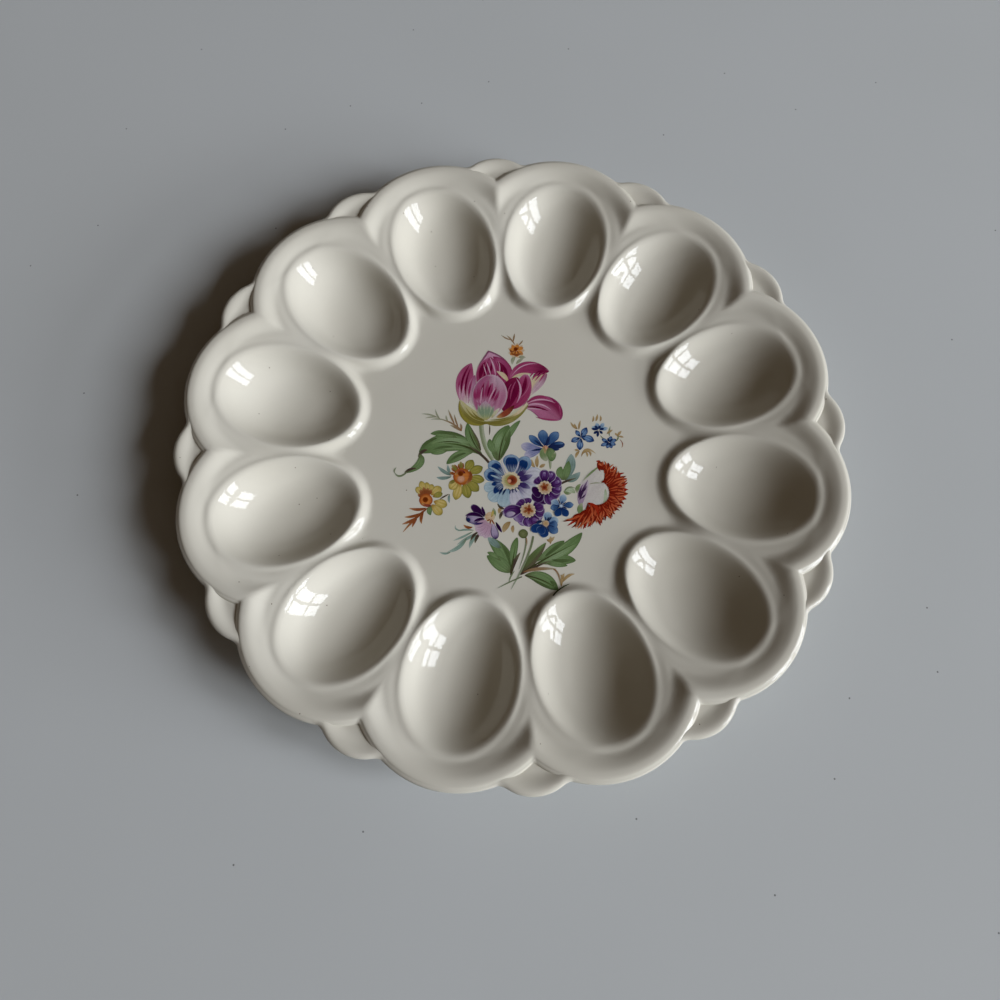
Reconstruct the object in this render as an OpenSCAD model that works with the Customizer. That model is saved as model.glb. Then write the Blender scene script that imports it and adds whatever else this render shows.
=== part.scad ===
// Deviled egg platter: a lobed earthenware dish with a ring of egg wells,
// small petals behind the notches of the rim, a foot ring and a printed spray of flowers.
// Millimetres, Z up, origin on the table under the middle of the platter.
// A petal points along +Y, so the wells lie half a step to either side of it.

/* [Platter] */
// Overall width across the lobes
platter_d = 255.4; // [253.4:0.5:258.4]
// Height of the rim's crest above the table
platter_h = 23; // [22:0.5:25]
// Thickness of the cast ware
wall = 4.2; // [3.6:0.1:4.6]
// Height of the flat floor above the table
floor_h = 11.8; // [11.2:0.1:12.4]

/* [Wells] */
// Length of a well, along the platter's radius
well_l = 52; // [49:0.5:52]
// Width of a well
well_w = 42; // [39:0.5:42]
// Depth of a well below its lip
well_depth = 10; // [9:0.5:11]
// Height of the lip above the floor, at the end near the floor
lip_in_rise = 2.7; // [2.2:0.1:3.2]
// Drop from the rim's crest to the lip, at the outer end
lip_out_drop = 1.2; // [0.8:0.1:2]
// Softness of the lip's rounding
lip_soft = 5.2; // [4.5:0.1:6]
// Width of the slope from the lip down to the floor
slope_w = 7; // [6:0.5:7.5]
// Width of the level floor between the slopes and the floor's disc
disc_margin = 2.6; // [2:0.1:3]

/* [Rim] */
// Width of the rim band outside a well
rim_band = 12.8; // [12.5:0.1:13.5]
// Radius of a lobe's outline
lobe_r = 37.6; // [36.7:0.1:38.7]
// Depth of the groove between the lip and the rim's rise
groove_depth = 1.1; // [0.8:0.1:1.3]
// Width of the groove
groove_w = 5.4; // [4.8:0.2:6]
// Width of the rim's rise
rise_w = 7.8; // [7.4:0.1:8.4]
// Rounding of the rim's edge
edge_r = 1.2; // [0.8:0.1:1.5]

/* [Petals] */
// Radius of a petal's tip
petal_r = 16.4; // [15.4:0.1:17.2]
// Drop from the rim's crest to a petal's crest
petal_drop = 1.3; // [1:0.1:1.6]
// Depth of the dished face of a petal
petal_dish = 0.9; // [0.6:0.1:1]
// Thickness of a petal
petal_t = 3; // [2.6:0.1:3.4]

/* [Foot ring] */
// Outer diameter of the foot ring
foot_d = 92; // [84:1:94]
// Width of the foot ring at the ware
foot_w = 5; // [4:0.5:6]
// Taper of each side of the foot ring, towards the table
foot_taper = 0.8; // [0.5:0.1:1]

/* [Printed spray] */
// Thickness of the fired print
print_t = 0.1; // [0.08:0.01:0.15]
// Shift of the whole spray up the floor
spray_up = 3; // [2:0.5:4]
// Reach of the drawn spray from the floor's middle
spray_reach = 52.6; // [52.4:0.1:54]
// Clearance between the spray and the end of the flat floor
print_clear = 1; // [0.6:0.1:2]
// Centre of the blue anemone
anemone_at = [-1.5, -14.5]; // [-50:0.5:50]
// Length and width of its petals
anemone_petal = [12, 8.4]; // [8:0.1:12.5]
// Centre of the upper primrose
primrose_up_at = [12.5, -17.5]; // [-50:0.5:50]
// Centre of the lower primrose
primrose_low_at = [4.8, -27.5]; // [-50:0.5:50]
// Length and width of the primrose petals
primrose_petal = [7.6, 6.8]; // [6:0.1:8]
// Centre of the right floret
floret_right_at = [19.6, -26.2]; // [-50:0.5:50]
// Centre of the low floret
floret_low_at = [12.4, -34]; // [-50:0.5:50]
// Length and width of the floret petals
floret_petal = [5.4, 3.8]; // [3:0.1:5.6]
// Foot of the cornflower's fan
cornflower_at = [13, -4]; // [-50:0.5:50]
// Length and width of the cornflower petals
cornflower_petal = [10.5, 3.8]; // [3:0.1:11]
// Middle of the forget-me-not sprig
sprig_at = [33.4, 1.8]; // [-50:0.5:50]
// Length and width of the forget-me-not petals
sprig_petal = [4.2, 2.8]; // [2:0.1:4.6]
// Spread of the forget-me-nots about the sprig's middle
sprig_spread = 4.6; // [4:0.1:4.8]
// Foot of the carnation
carnation_at = [25, -20.5]; // [-50:0.5:50]
// Length and width of the carnation's cup
carnation_cup = [11, 9.6]; // [8:0.1:11.5]
// Length and width of the carnation's fringe petals
carnation_petal = [11.5, 3.8]; // [3:0.1:12]
// Centre of the upper daisy
daisy_up_at = [-20.5, -13.5]; // [-50:0.5:50]
// Centre of the lower daisy
daisy_low_at = [-34.5, -21.5]; // [-50:0.5:50]
// Length and width of the daisy petals
daisy_petal = [8, 4.2]; // [3:0.1:8.2]
// Foot of the lilac flower's fan
lilac_at = [-12.5, -27.5]; // [-50:0.5:50]
// Length and width of the lilac petals
lilac_petal = [8.6, 3.8]; // [3:0.1:9]
// Foot of the tulip's petals
tulip_at = [-4.5, 11.5]; // [-50:0.5:50]
// Length and width of the tulip petals
tulip_petal = [24, 11.5]; // [10:0.5:24.5]
// Centre of the small flower at the top
topflower_at = [8.2, 38.6]; // [-50:0.5:50]
// Length and width of its petals
topflower_petal = [3.8, 2.8]; // [2:0.1:4]
// Length and width of the tulip's stem
stem_size = [15, 1.6]; // [1.2:0.1:15]
// Foot of the tulip's leaves
leaf_foot_at = [-5.5, -3.4]; // [-50:0.5:50]
// Length and width of the long leaf on the left
leaf_left_size = [28, 8.5]; // [7:0.5:29]
// Length and width of its curled tail
leaf_curl_size = [14, 3.4]; // [3:0.2:15]
// Length and width of the leaf on the right of the stem
leaf_right_size = [13, 5.4]; // [4:0.2:14]
// Foot of the brown fern on the left
fern_left_at = [-20.5, 9.5]; // [-50:0.5:50]
// Foot of the green fern below the lilac flower
fern_low_at = [-21, -38]; // [-50:0.5:50]
// Length and width of the fern leaves
fern_leaf = [7, 1.8]; // [1.4:0.1:7.5]
// Foot of the low leaves and stems
low_foot_at = [-1, -49]; // [-50:0.5:50]
// Length and width of the low left leaf
leaf_low_left_size = [15, 6.6]; // [5:0.2:16]
// Length and width of the low right leaf
leaf_low_right_size = [24, 8.6]; // [6:0.2:25]
// Length and width of the tail leaf
leaf_tail_size = [7.5, 3.6]; // [2:0.1:8]
// Length and width of the bud's stem
bud_stem_size = [12, 1.2]; // [1:0.1:12.5]
// Radius of the bud
bud_r = 2.2; // [1.5:0.1:2.3]
// Foot of the leaf by the carnation
leaf_side_at = [20.8, -13.2]; // [-50:0.5:50]
// Length and width of that leaf
leaf_side_size = [9.6, 5]; // [3:0.2:10]

/* [Hidden] */
$fn = 240;

// A dozen wells, one step apart
well_count = 12;
step = 360 / well_count;
half_step = step / 2;

// Share of a well's length that lies outside its widest place
blunt_share = 0.475;
// Share of the groove's width from the lip to the groove's deepest line
groove_mid_share = 0.62;
// Share of a well's bowl that follows a square law, the rest is steeper
bowl_share = 0.8;
// Shares of the way from a well's middle to its lip where the mesh has a ring
bowl_shares = [0.36, 0.66, 0.88, 1];
// Shares of the way from the lip to the sector's border where the mesh has a ring
band_shares = [0.14, 0.32, 0.6, 0.88, 1];
// The same two lists for the underside
under_bowl_shares = [0.4, 0.74];
under_band_shares = [0, 0.45, 1];
// Share of the notch that a petal fills, short of its sharp corners
notch_share = 0.96;
// Shares of the way across a petal where the mesh has a row
petal_shares = [0, 0.35, 0.7, 0.88, 1];
// Share of a petal's width at which its crest lies
petal_crest_share = 0.88;
// Mesh steps along a lobe, a petal's side, a sector's side and the floor's arc
lobe_steps = 4;
notch_steps = 3;
side_steps = 6;
floor_steps = 2;

// The platter's plan
rim_r = platter_d / 2;
lobe_x = rim_r - lobe_r;
reach_out = well_l * blunt_share;
reach_in = well_l - reach_out;
well_x = rim_r - rim_band - reach_out;
half_w = well_w / 2;
lip_in_x = well_x - reach_in;
// The floor's flat disc ends a little short of the slopes
disc_r = lip_in_x - slope_w - disc_margin;
// The spray is drawn to fill the floor
spray_scale = (disc_r - print_clear) / spray_reach;
// The slope to the floor fades out between the inner lip and the well's widest place
fade_from = well_x - reach_in / 2;
fade_to = well_x + groove_w / 2;

// The platter's levels
lip_in_h = floor_h + lip_in_rise;
lip_out_h = platter_h - lip_out_drop;
under_h = floor_h - wall;
rise_to = lobe_r - edge_r;
rise_from = rise_to - rise_w;
// The groove's middle lies just past half its width from the lip
groove_mid = groove_w * groove_mid_share;

// Where neighbouring lobes cross, and where a petal's tip leaves a lobe
cusp_r = lobe_x * cos(half_step) + sqrt(pow(lobe_r, 2) - pow(lobe_x * sin(half_step), 2));
cusp_turn = atan2(cusp_r * sin(half_step), cusp_r * cos(half_step) - lobe_x);
petal_x = rim_r - petal_r;
petal_gap = norm([petal_x * cos(half_step) - lobe_x, petal_x * sin(half_step)]);
petal_turn = atan2(petal_x * sin(half_step), petal_x * cos(half_step) - lobe_x);
meet_fold = acos((pow(lobe_r, 2) + pow(petal_gap, 2) - pow(petal_r, 2)) / (2 * lobe_r * petal_gap));
meet_turn = petal_turn - meet_fold;
petal_end_turn = cusp_turn + (meet_turn - cusp_turn) * notch_share;

// Small helpers: a smooth step, a soft lower of two heights, a point at a bearing and reach
function ease(t) = let (c = min(max(t, 0), 1)) c * c * (3 - 2 * c);
function soft_min(a, b, k) = let (h = max(k - abs(a - b), 0) / k) min(a, b) - h * h * k / 4;
function flat(list) = [for (part = list) each part];
function spun(p, turn) = [p.x * cos(turn) - p.y * sin(turn), p.x * sin(turn) + p.y * cos(turn), p.z];

// A sector's border, as points from its outer end round to the floor, on one side of its axis
function lobe_point(turn) = [lobe_x + lobe_r * cos(turn), lobe_r * sin(turn)];
disc_corner = disc_r * [cos(half_step), sin(half_step)];
cusp = cusp_r * [cos(half_step), sin(half_step)];
half_border = concat(
    [for (i = [0 : lobe_steps - 1]) lobe_point(petal_end_turn * i / lobe_steps)],
    [for (i = [0 : notch_steps - 1])
        lobe_point(petal_end_turn + (cusp_turn - petal_end_turn) * i / notch_steps)],
    [for (i = [0 : side_steps - 1]) cusp + (disc_corner - cusp) * i / side_steps],
    [for (i = [0 : floor_steps])
        disc_r * [cos(half_step * (1 - i / floor_steps)), sin(half_step * (1 - i / floor_steps))]]
);
half_count = len(half_border) - 1;
// The whole border: one side, then the other side mirrored
border = concat(half_border, [for (i = [half_count - 1 : -1 : 1]) [half_border[i].x, -half_border[i].y]]);
border_count = len(border);

// Share of the way out to an egg outline grown by the given margin: 1 on the outline
function egg_share(p, margin) =
    let (x = p.x - well_x, along = (x > 0 ? reach_out : reach_in) + margin)
    norm([x / along, p.y / (half_w + margin)]);
// Level of the lip, which climbs from the floor to the rim and stays level beyond the well
function lip_level(p) = lip_in_h + (lip_out_h - lip_in_h) * min((p.x - lip_in_x) / well_l, 1);
// The ground around a well: the lip, the slope to the floor, the groove and the rim's rise
function ground(p) =
    let (
        share = egg_share(p, 0),
        beyond = norm([p.x - well_x, p.y]) * (1 - 1 / max(share, bowl_share)),
        outward = ease((norm(p) - fade_from) / (fade_to - fade_from)),
        mound = lip_level(p) - (lip_level(p) - floor_h) * ease(beyond / slope_w) * (1 - outward),
        from_lobe = norm([p.x - lobe_x, p.y]),
        rise = p.x > lobe_x ? ease((from_lobe - rise_from) / rise_w) : 0,
        groove = groove_depth * outward * ease(1 - abs(beyond - groove_mid) * 2 / groove_w) * (1 - rise),
        over = min(max(from_lobe - rise_to, 0), edge_r) * (p.x > lobe_x ? 1 : 0),
        rounding = edge_r - sqrt(max(pow(edge_r, 2) - pow(over, 2), 0))
    )
    mound + (platter_h - mound) * rise - groove - rounding;
// An egg-shaped bowl under the lip, grown by the given margin
function bowl(p, margin) =
    let (s = egg_share(p, margin))
    lip_level(p) - (well_depth + margin) * (1 - bowl_share * s * s - (1 - bowl_share) * pow(s, 4));
function top_level(p) = soft_min(ground(p), bowl(p, 0), lip_soft);
function under_level(p, edge) =
    edge ? platter_h - wall : soft_min(ground(p) - wall, bowl(p, wall), lip_soft);

// One ring of a sector: from the well's middle out to the lip, or on to the border
function lip_point(b) =
    let (well = [well_x, 0], away = b - well) well + away / egg_share(b, 0);
function bowl_ring(share) =
    [for (b = border) let (well = [well_x, 0]) well + (lip_point(b) - well) * share];
function band_ring(share) = [for (b = border) lip_point(b) + (b - lip_point(b)) * share];
function top_rings() = concat([for (s = bowl_shares) bowl_ring(s)], [for (s = band_shares) band_ring(s)]);
function under_rings() =
    concat([for (s = under_bowl_shares) bowl_ring(s)], [for (s = under_band_shares) band_ring(s)]);
on_lobe = lobe_steps + notch_steps;
function at_edge(i) = i <= on_lobe || i >= border_count - on_lobe;

// The points of one sector: the top's middle and rings, then the underside's
top_points = concat(
    [[well_x, 0, top_level([well_x, 0])]],
    [for (ring = top_rings()) for (p = ring) [p.x, p.y, top_level(p)]]
);
under_points = concat(
    [[well_x, 0, under_level([well_x, 0], false)]],
    [for (j = [0 : len(under_rings()) - 1]) for (i = [0 : border_count - 1])
        let (p = under_rings()[j][i], last = j == len(under_rings()) - 1)
        [p.x, p.y, under_level(p, last && at_edge(i))]]
);
top_count = len(top_points);
sector_points = concat(top_points, under_points);
sector_count = len(sector_points);

// Faces of a sector: fans round the middles, strips between rings, a wall along the lobe's edge.
// Seen from outside, faces run clockwise.
function next(i) = (i + 1) % border_count;
function fan(start, up) =
    [for (i = [0 : border_count - 1])
        up ? [start, start + 1 + next(i), start + 1 + i] : [start, start + 1 + i, start + 1 + next(i)]];
function strip(a, b, up) =
    flat([for (i = [0 : border_count - 1])
        up ? [[a + i, a + next(i), b + next(i)], [a + i, b + next(i), b + i]]
           : [[a + i, b + next(i), a + next(i)], [a + i, b + i, b + next(i)]]]);
function rings_strips(start, count, up) =
    flat([for (j = [0 : count - 2])
        strip(start + 1 + j * border_count, start + 1 + (j + 1) * border_count, up)]);
top_last = 1 + (len(top_rings()) - 1) * border_count;
under_last = top_count + 1 + (len(under_rings()) - 1) * border_count;
edge_faces = flat([for (i = [0 : border_count - 1])
    at_edge(i) && at_edge(next(i))
        ? [[top_last + i, top_last + next(i), under_last + next(i)],
           [top_last + i, under_last + next(i), under_last + i]]
        : []]);
sector_faces = concat(
    fan(0, true), rings_strips(0, len(top_rings()), true),
    fan(top_count, false), rings_strips(top_count, len(under_rings()), false), edge_faces
);

// The floor's disc closes the middle, above and below
function disc_index(i) = half_count - floor_steps + i;
top_disc = flat([for (k = [0 : well_count - 1]) [for (i = [2 * floor_steps : -1 : 1])
    k * sector_count + top_last + disc_index(i)]]);
under_disc = flat([for (k = [0 : well_count - 1]) [for (i = [2 * floor_steps : -1 : 1])
    k * sector_count + under_last + disc_index(i)]]);
function reversed(list) = [for (i = [len(list) - 1 : -1 : 0]) list[i]];

// One casting: twelve sectors turned round the axis, and the floor's disc
module platter_body() {
    color("ivory")
        polyhedron(
            points = flat([for (k = [0 : well_count - 1])
                [for (p = sector_points) spun(p, half_step + step * k)]]),
            faces = concat(
                flat([for (k = [0 : well_count - 1])
                    [for (face = sector_faces) [for (i = face) i + k * sector_count]]]),
                [reversed(top_disc), under_disc]
            ),
            convexity = well_count
        );
}

// A petal in its own frame, pointing along +X: rows run from the lobes' edges out to its tip
function petal_inner(turn) =
    let (p = lobe_point(turn), q = spun([p.x, p.y, 0], -half_step)) [q.x, q.y];
function petal_outer(p) =
    let (bearing = atan2(p.y, p.x), x = petal_x * cos(bearing))
    (x + sqrt(pow(petal_r, 2) - pow(petal_x * sin(bearing), 2))) * [cos(bearing), sin(bearing)];
petal_half = [for (i = [0 : notch_steps])
    petal_inner(petal_end_turn + (cusp_turn - petal_end_turn) * i / notch_steps)];
petal_inside = concat(petal_half, [for (i = [notch_steps - 1 : -1 : 0]) [petal_half[i].x, -petal_half[i].y]]);
petal_columns = len(petal_inside);
function petal_level(share) =
    platter_h - petal_drop - petal_dish * (1 - ease(share / petal_crest_share))
    - (share > petal_crest_share ? edge_r / 2 : 0);
petal_rows = len(petal_shares);
petal_points = flat([for (drop = [0, petal_t]) flat([for (share = petal_shares)
    [for (p = petal_inside) let (q = p + (petal_outer(p) - p) * share)
        [q.x, q.y, petal_level(share) - drop]]])]);
function petal_index(row, column, under) = (row + (under ? petal_rows : 0)) * petal_columns + column;
function quad(a, b, c, d) = [[a, b, c], [a, c, d]];
petal_faces = concat(
    flat([for (j = [0 : petal_rows - 2]) flat([for (i = [0 : petal_columns - 2]) concat(
        quad(petal_index(j, i, false), petal_index(j, i + 1, false),
            petal_index(j + 1, i + 1, false), petal_index(j + 1, i, false)),
        quad(petal_index(j, i, true), petal_index(j + 1, i, true),
            petal_index(j + 1, i + 1, true), petal_index(j, i + 1, true)))])]),
    flat([for (i = [0 : petal_columns - 2]) concat(
        quad(petal_index(0, i, false), petal_index(0, i, true),
            petal_index(0, i + 1, true), petal_index(0, i + 1, false)),
        quad(petal_index(petal_rows - 1, i, false), petal_index(petal_rows - 1, i + 1, false),
            petal_index(petal_rows - 1, i + 1, true), petal_index(petal_rows - 1, i, true)))]),
    flat([for (j = [0 : petal_rows - 2]) concat(
        quad(petal_index(j, 0, false), petal_index(j + 1, 0, false),
            petal_index(j + 1, 0, true), petal_index(j, 0, true)),
        quad(petal_index(j, petal_columns - 1, false), petal_index(j, petal_columns - 1, true),
            petal_index(j + 1, petal_columns - 1, true), petal_index(j + 1, petal_columns - 1, false)))])
);

module petal(number) {
    color("linen")
        rotate([0, 0, step * number])
            polyhedron(points = petal_points, faces = petal_faces, convexity = 2);
}

// The dry ring that the platter stands on, a tapered band under the floor
module foot_ring() {
    foot_r = foot_d / 2;
    color("wheat")
        rotate_extrude()
            polygon([
                [foot_r - foot_w + foot_taper, 0],
                [foot_r - foot_taper, 0],
                [foot_r, under_h],
                [foot_r - foot_w, under_h]
            ]);
}

// Share of a petal's length that a flower's round heart covers
heart_share = 0.3;
// Share of a leaf's length at which its curled tail starts
curl_share = 0.86;
// Share of the carnation's cup from which its fringe spreads
fringe_share = 0.5;

// A pointed petal or leaf from the origin along +Y, where two circles overlap
module leaf_shape(size) {
    long = size[0];
    wide = size[1];
    bend_r = (pow(long, 2) + pow(wide, 2)) / (4 * wide);
    apart = bend_r - wide / 2;
    translate([0, long / 2])
        intersection() {
            translate([apart, 0]) circle(bend_r);
            translate([-apart, 0]) circle(bend_r);
        }
}

// Petals all round a heart
module bloom_shape(at, size, count) {
    translate(at) {
        circle(size[0] * heart_share);
        for (i = [0 : count - 1]) rotate(360 / count * i) leaf_shape(size);
    }
}

// Petals spread over a sweep, about a turn from +Y, on the same heart
module fan_shape(at, size, count, turn, sweep) {
    translate(at) {
        circle(size[0] * heart_share / 2);
        for (i = [0 : count - 1]) rotate(turn + sweep * (i / (count - 1) - 1 / 2)) leaf_shape(size);
    }
}

module anemone_shape() bloom_shape(anemone_at, anemone_petal, 8);
module primrose_up_shape() bloom_shape(primrose_up_at, primrose_petal, 5);
module primrose_low_shape() bloom_shape(primrose_low_at, primrose_petal, 5);
module floret_right_shape() bloom_shape(floret_right_at, floret_petal, 6);
module daisy_up_shape() bloom_shape(daisy_up_at, daisy_petal, 8);
module tulip_shape() fan_shape(tulip_at, tulip_petal, 5, -12, 104);
module tulip_stem_shape() translate(tulip_at) rotate(180) leaf_shape(stem_size);
// The low leaves start a stem's width away from the stem's own foot
module low_right_shape()
    translate(low_foot_at) rotate(-75) translate([0, bud_stem_size[1]]) leaf_shape(leaf_low_right_size);
module low_left_shape()
    translate(low_foot_at) rotate(55) translate([0, bud_stem_size[1]]) leaf_shape(leaf_low_left_size);

// A film of print on the floor
module film(tint) {
    color(tint)
        translate([0, 0, floor_h])
            linear_extrude(print_t)
                scale(spray_scale)
                    translate([0, spray_up])
                        children();
}

module print_tulip() film("mediumvioletred") tulip_shape();

module print_tulip_stem()
    film("darkseagreen")
        difference() {
            tulip_stem_shape();
            tulip_shape();
            anemone_shape();
        }

module print_leaf_left()
    film("olivedrab")
        difference() {
            translate(leaf_foot_at)
                rotate(75) {
                    leaf_shape(leaf_left_size);
                    translate([0, leaf_left_size[0] * curl_share]) rotate(60) leaf_shape(leaf_curl_size);
                }
            tulip_stem_shape();
            anemone_shape();
        }

module print_leaf_right()
    film("seagreen")
        difference() {
            translate(leaf_foot_at + [2 * stem_size[1], 0]) rotate(-32) leaf_shape(leaf_right_size);
            tulip_shape();
            anemone_shape();
        }

module print_top_flower() film("orange") bloom_shape(topflower_at, topflower_petal, 6);

module print_fern_left() film("peru") fan_shape(fern_left_at, fern_leaf, 4, 55, 130);

module print_anemone() film("royalblue") anemone_shape();

module print_primrose_upper()
    film("indigo")
        difference() {
            primrose_up_shape();
            anemone_shape();
        }

module print_primrose_lower()
    film("purple")
        difference() {
            primrose_low_shape();
            anemone_shape();
            primrose_up_shape();
        }

module print_floret_right()
    film("dodgerblue")
        difference() {
            floret_right_shape();
            primrose_up_shape();
        }

module print_floret_low()
    film("mediumblue")
        difference() {
            bloom_shape(floret_low_at, floret_petal, 6);
            primrose_low_shape();
        }

module print_cornflower() film("steelblue") fan_shape(cornflower_at, cornflower_petal, 7, 0, 156);

module print_forget_me_nots()
    film("cornflowerblue")
        translate(sprig_at) {
            circle(sprig_spread * heart_share);
            for (i = [0 : 2]) rotate(20 + 120 * i) translate([0, sprig_spread]) rotate(180)
                bloom_shape([0, 0], sprig_petal, 5);
        }

module print_carnation()
    film("orangered")
        translate(carnation_at)
            rotate(-90) {
                leaf_shape(carnation_cup);
                fan_shape([0, carnation_cup[0] * fringe_share], carnation_petal, 9, 0, 150);
            }

module print_leaf_side() film("mediumseagreen") translate(leaf_side_at) rotate(-25) leaf_shape(leaf_side_size);

module print_daisy_upper()
    film("gold")
        difference() {
            daisy_up_shape();
            anemone_shape();
        }

module print_daisy_lower()
    film("goldenrod")
        difference() {
            bloom_shape(daisy_low_at, daisy_petal, 8);
            daisy_up_shape();
        }

module print_lilac() film("plum") fan_shape(lilac_at, lilac_petal, 7, 135, 220);

module print_fern_low() film("cadetblue") fan_shape(fern_low_at, fern_leaf, 4, 115, 130);

module print_bud()
    film("darkolivegreen")
        translate(low_foot_at)
            rotate(-8) {
                leaf_shape(bud_stem_size);
                translate([0, bud_stem_size[0]]) circle(bud_r);
            }

module print_leaf_low_left()
    film("forestgreen")
        difference() {
            low_left_shape();
            translate(low_foot_at) rotate(-8) leaf_shape(bud_stem_size);
        }

module print_leaf_low_right()
    film("green")
        difference() {
            low_right_shape();
            translate(low_foot_at) rotate(-8) leaf_shape(bud_stem_size);
        }

module print_leaf_tail()
    film("darkgreen")
        difference() {
            translate(low_foot_at) rotate(-142) leaf_shape(leaf_tail_size);
            low_right_shape();
        }

platter_body();
foot_ring();
petal(1);  // petal_01
petal(2);  // petal_02
petal(3);  // petal_03
petal(4);  // petal_04
petal(5);  // petal_05
petal(6);  // petal_06
petal(7);  // petal_07
petal(8);  // petal_08
petal(9);  // petal_09
petal(10);  // petal_10
petal(11);  // petal_11
petal(12);  // petal_12
print_tulip();
print_tulip_stem();
print_leaf_left();
print_leaf_right();
print_top_flower();
print_fern_left();
print_anemone();
print_primrose_upper();
print_primrose_lower();
print_floret_right();
print_floret_low();
print_cornflower();
print_forget_me_nots();
print_carnation();
print_leaf_side();
print_daisy_upper();
print_daisy_lower();
print_lilac();
print_fern_low();
print_bud();
print_leaf_low_left();
print_leaf_low_right();
print_leaf_tail();
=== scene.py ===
import math

import bmesh
import bpy
import numpy as np
from mathutils import Matrix, Vector


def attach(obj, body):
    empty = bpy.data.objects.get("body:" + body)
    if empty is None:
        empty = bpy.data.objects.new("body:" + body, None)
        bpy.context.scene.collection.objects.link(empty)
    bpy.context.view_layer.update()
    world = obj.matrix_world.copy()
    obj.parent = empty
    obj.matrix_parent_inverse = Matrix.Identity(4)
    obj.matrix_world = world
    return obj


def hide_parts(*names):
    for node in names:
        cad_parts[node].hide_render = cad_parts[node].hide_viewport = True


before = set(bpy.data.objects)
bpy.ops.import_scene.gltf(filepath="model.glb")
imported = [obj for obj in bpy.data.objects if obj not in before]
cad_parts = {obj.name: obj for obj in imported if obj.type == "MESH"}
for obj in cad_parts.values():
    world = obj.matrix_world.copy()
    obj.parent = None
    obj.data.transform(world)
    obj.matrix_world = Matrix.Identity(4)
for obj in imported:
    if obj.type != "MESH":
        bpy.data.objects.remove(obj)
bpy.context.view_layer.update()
mm = 0.001  # sizes below are millimetres, Blender's are metres
weldGap = 0.002  # points nearer to each other than this become one
tiny = 1e-6  # keeps a comparison or a division clear of rounding


def linear(hexColour):
    # an sRGB hex colour as linear red, green, blue and a full alpha
    parts = np.array([int(hexColour[i:i + 2], 16) / 255 for i in (1, 3, 5)])
    parts = np.where(parts <= 0.04045, parts / 12.92, ((parts + 0.055) / 1.055) ** 2.4)
    return (*parts.tolist(), 1.0)


def addNode(tree, kind, inputs=None, **settings):
    # one node with its settings; an input that is a socket is linked, any other is set
    node = tree.nodes.new(kind)
    for name, value in settings.items():
        setattr(node, name, value)
    for name, value in (inputs or {}).items():
        if isinstance(value, bpy.types.NodeSocket):
            tree.links.new(value, node.inputs[name])
        else:
            node.inputs[name].default_value = value
    return node


def newMaterial(name):
    # a material with nothing but a principled shader on its output
    material = bpy.data.materials.new(name)
    material.use_nodes = True
    tree = material.node_tree
    tree.nodes.clear()
    shader = addNode(tree, "ShaderNodeBsdfPrincipled")
    addNode(tree, "ShaderNodeOutputMaterial", {"Surface": shader.outputs["BSDF"]})
    return material, tree, shader


def ease(way):
    # a smooth step from 0 to 1
    way = np.clip(way, 0, 1)
    return way * way * (3 - 2 * way)


def softMin(one, other, soft):
    # the lower of two heights, rounded where they come within soft of each other
    near = np.maximum(soft - np.abs(one - other), 0) / soft
    return np.minimum(one, other) - near * near * soft / 4


def polar(radius, bearing, level):
    # points from their distance to the axis, their bearing and their height
    x, y = radius * np.cos(bearing), radius * np.sin(bearing)
    return np.stack([x, y, np.broadcast_to(level, x.shape)], -1)


def quads(rows, columns):
    # the faces of a grid of points, as indices into its flattened list
    index = np.arange(rows * columns).reshape(rows, columns)
    return np.stack([index[:-1, :-1], index[1:, :-1], index[1:, 1:], index[:-1, 1:]], -1).reshape(-1, 4)


def gridMesh(name, grids):
    # one mesh from grids of points, with the faces of each grid counted on from the last one's
    faces, start = [], 0
    for grid in grids:
        rows, columns = grid.shape[:2]
        faces.append(quads(rows, columns) + start)
        start += rows * columns
    points = np.concatenate([grid.reshape(-1, 3) for grid in grids]) * mm
    mesh = bpy.data.meshes.new(name)
    mesh.from_pydata(points.tolist(), [], np.concatenate(faces).tolist())
    return mesh


def addPiece(name, mesh, material, node):
    # a mesh as a piece of the platter, in place of its node of the construction
    mesh.materials.append(material)
    piece = bpy.data.objects.new(name, mesh)
    bpy.context.collection.objects.link(piece)
    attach(piece, "root")
    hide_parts(node)
    return piece


def shellPiece(name, grids, material, node):
    # grids of points joined along their shared edges into one closed, smooth shell
    mesh = gridMesh(name, grids)
    shell = bmesh.new()
    shell.from_mesh(mesh)
    bmesh.ops.remove_doubles(shell, verts=shell.verts, dist=weldGap * mm)
    bmesh.ops.recalc_face_normals(shell, faces=shell.faces)
    shell.to_mesh(mesh)
    shell.free()
    mesh.polygons.foreach_set("use_smooth", np.ones(len(mesh.polygons), dtype=bool))
    addPiece(name, mesh, material, node)


def specks(tree, place, look, dimensions):
    # a mask of small round specks, one in a share of the cells of a given spacing
    spacing = look["speckSpacing"]
    cells = addNode(tree, "ShaderNodeTexVoronoi", {
        "Vector": place, "Scale": 1 / (spacing * mm)}, voronoi_dimensions=dimensions)
    near = addNode(tree, "ShaderNodeMath", {
        0: cells.outputs["Distance"], 1: look["speckSize"] / spacing / 2}, operation="LESS_THAN")
    pick = addNode(tree, "ShaderNodeSeparateColor", {"Color": cells.outputs["Color"]})
    rare = addNode(tree, "ShaderNodeMath", {
        0: pick.outputs["Red"], 1: look["speckShare"]}, operation="LESS_THAN")
    both = addNode(tree, "ShaderNodeMath", {0: near.outputs[0], 1: rare.outputs[0]}, operation="MULTIPLY")
    return both.outputs[0]


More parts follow.
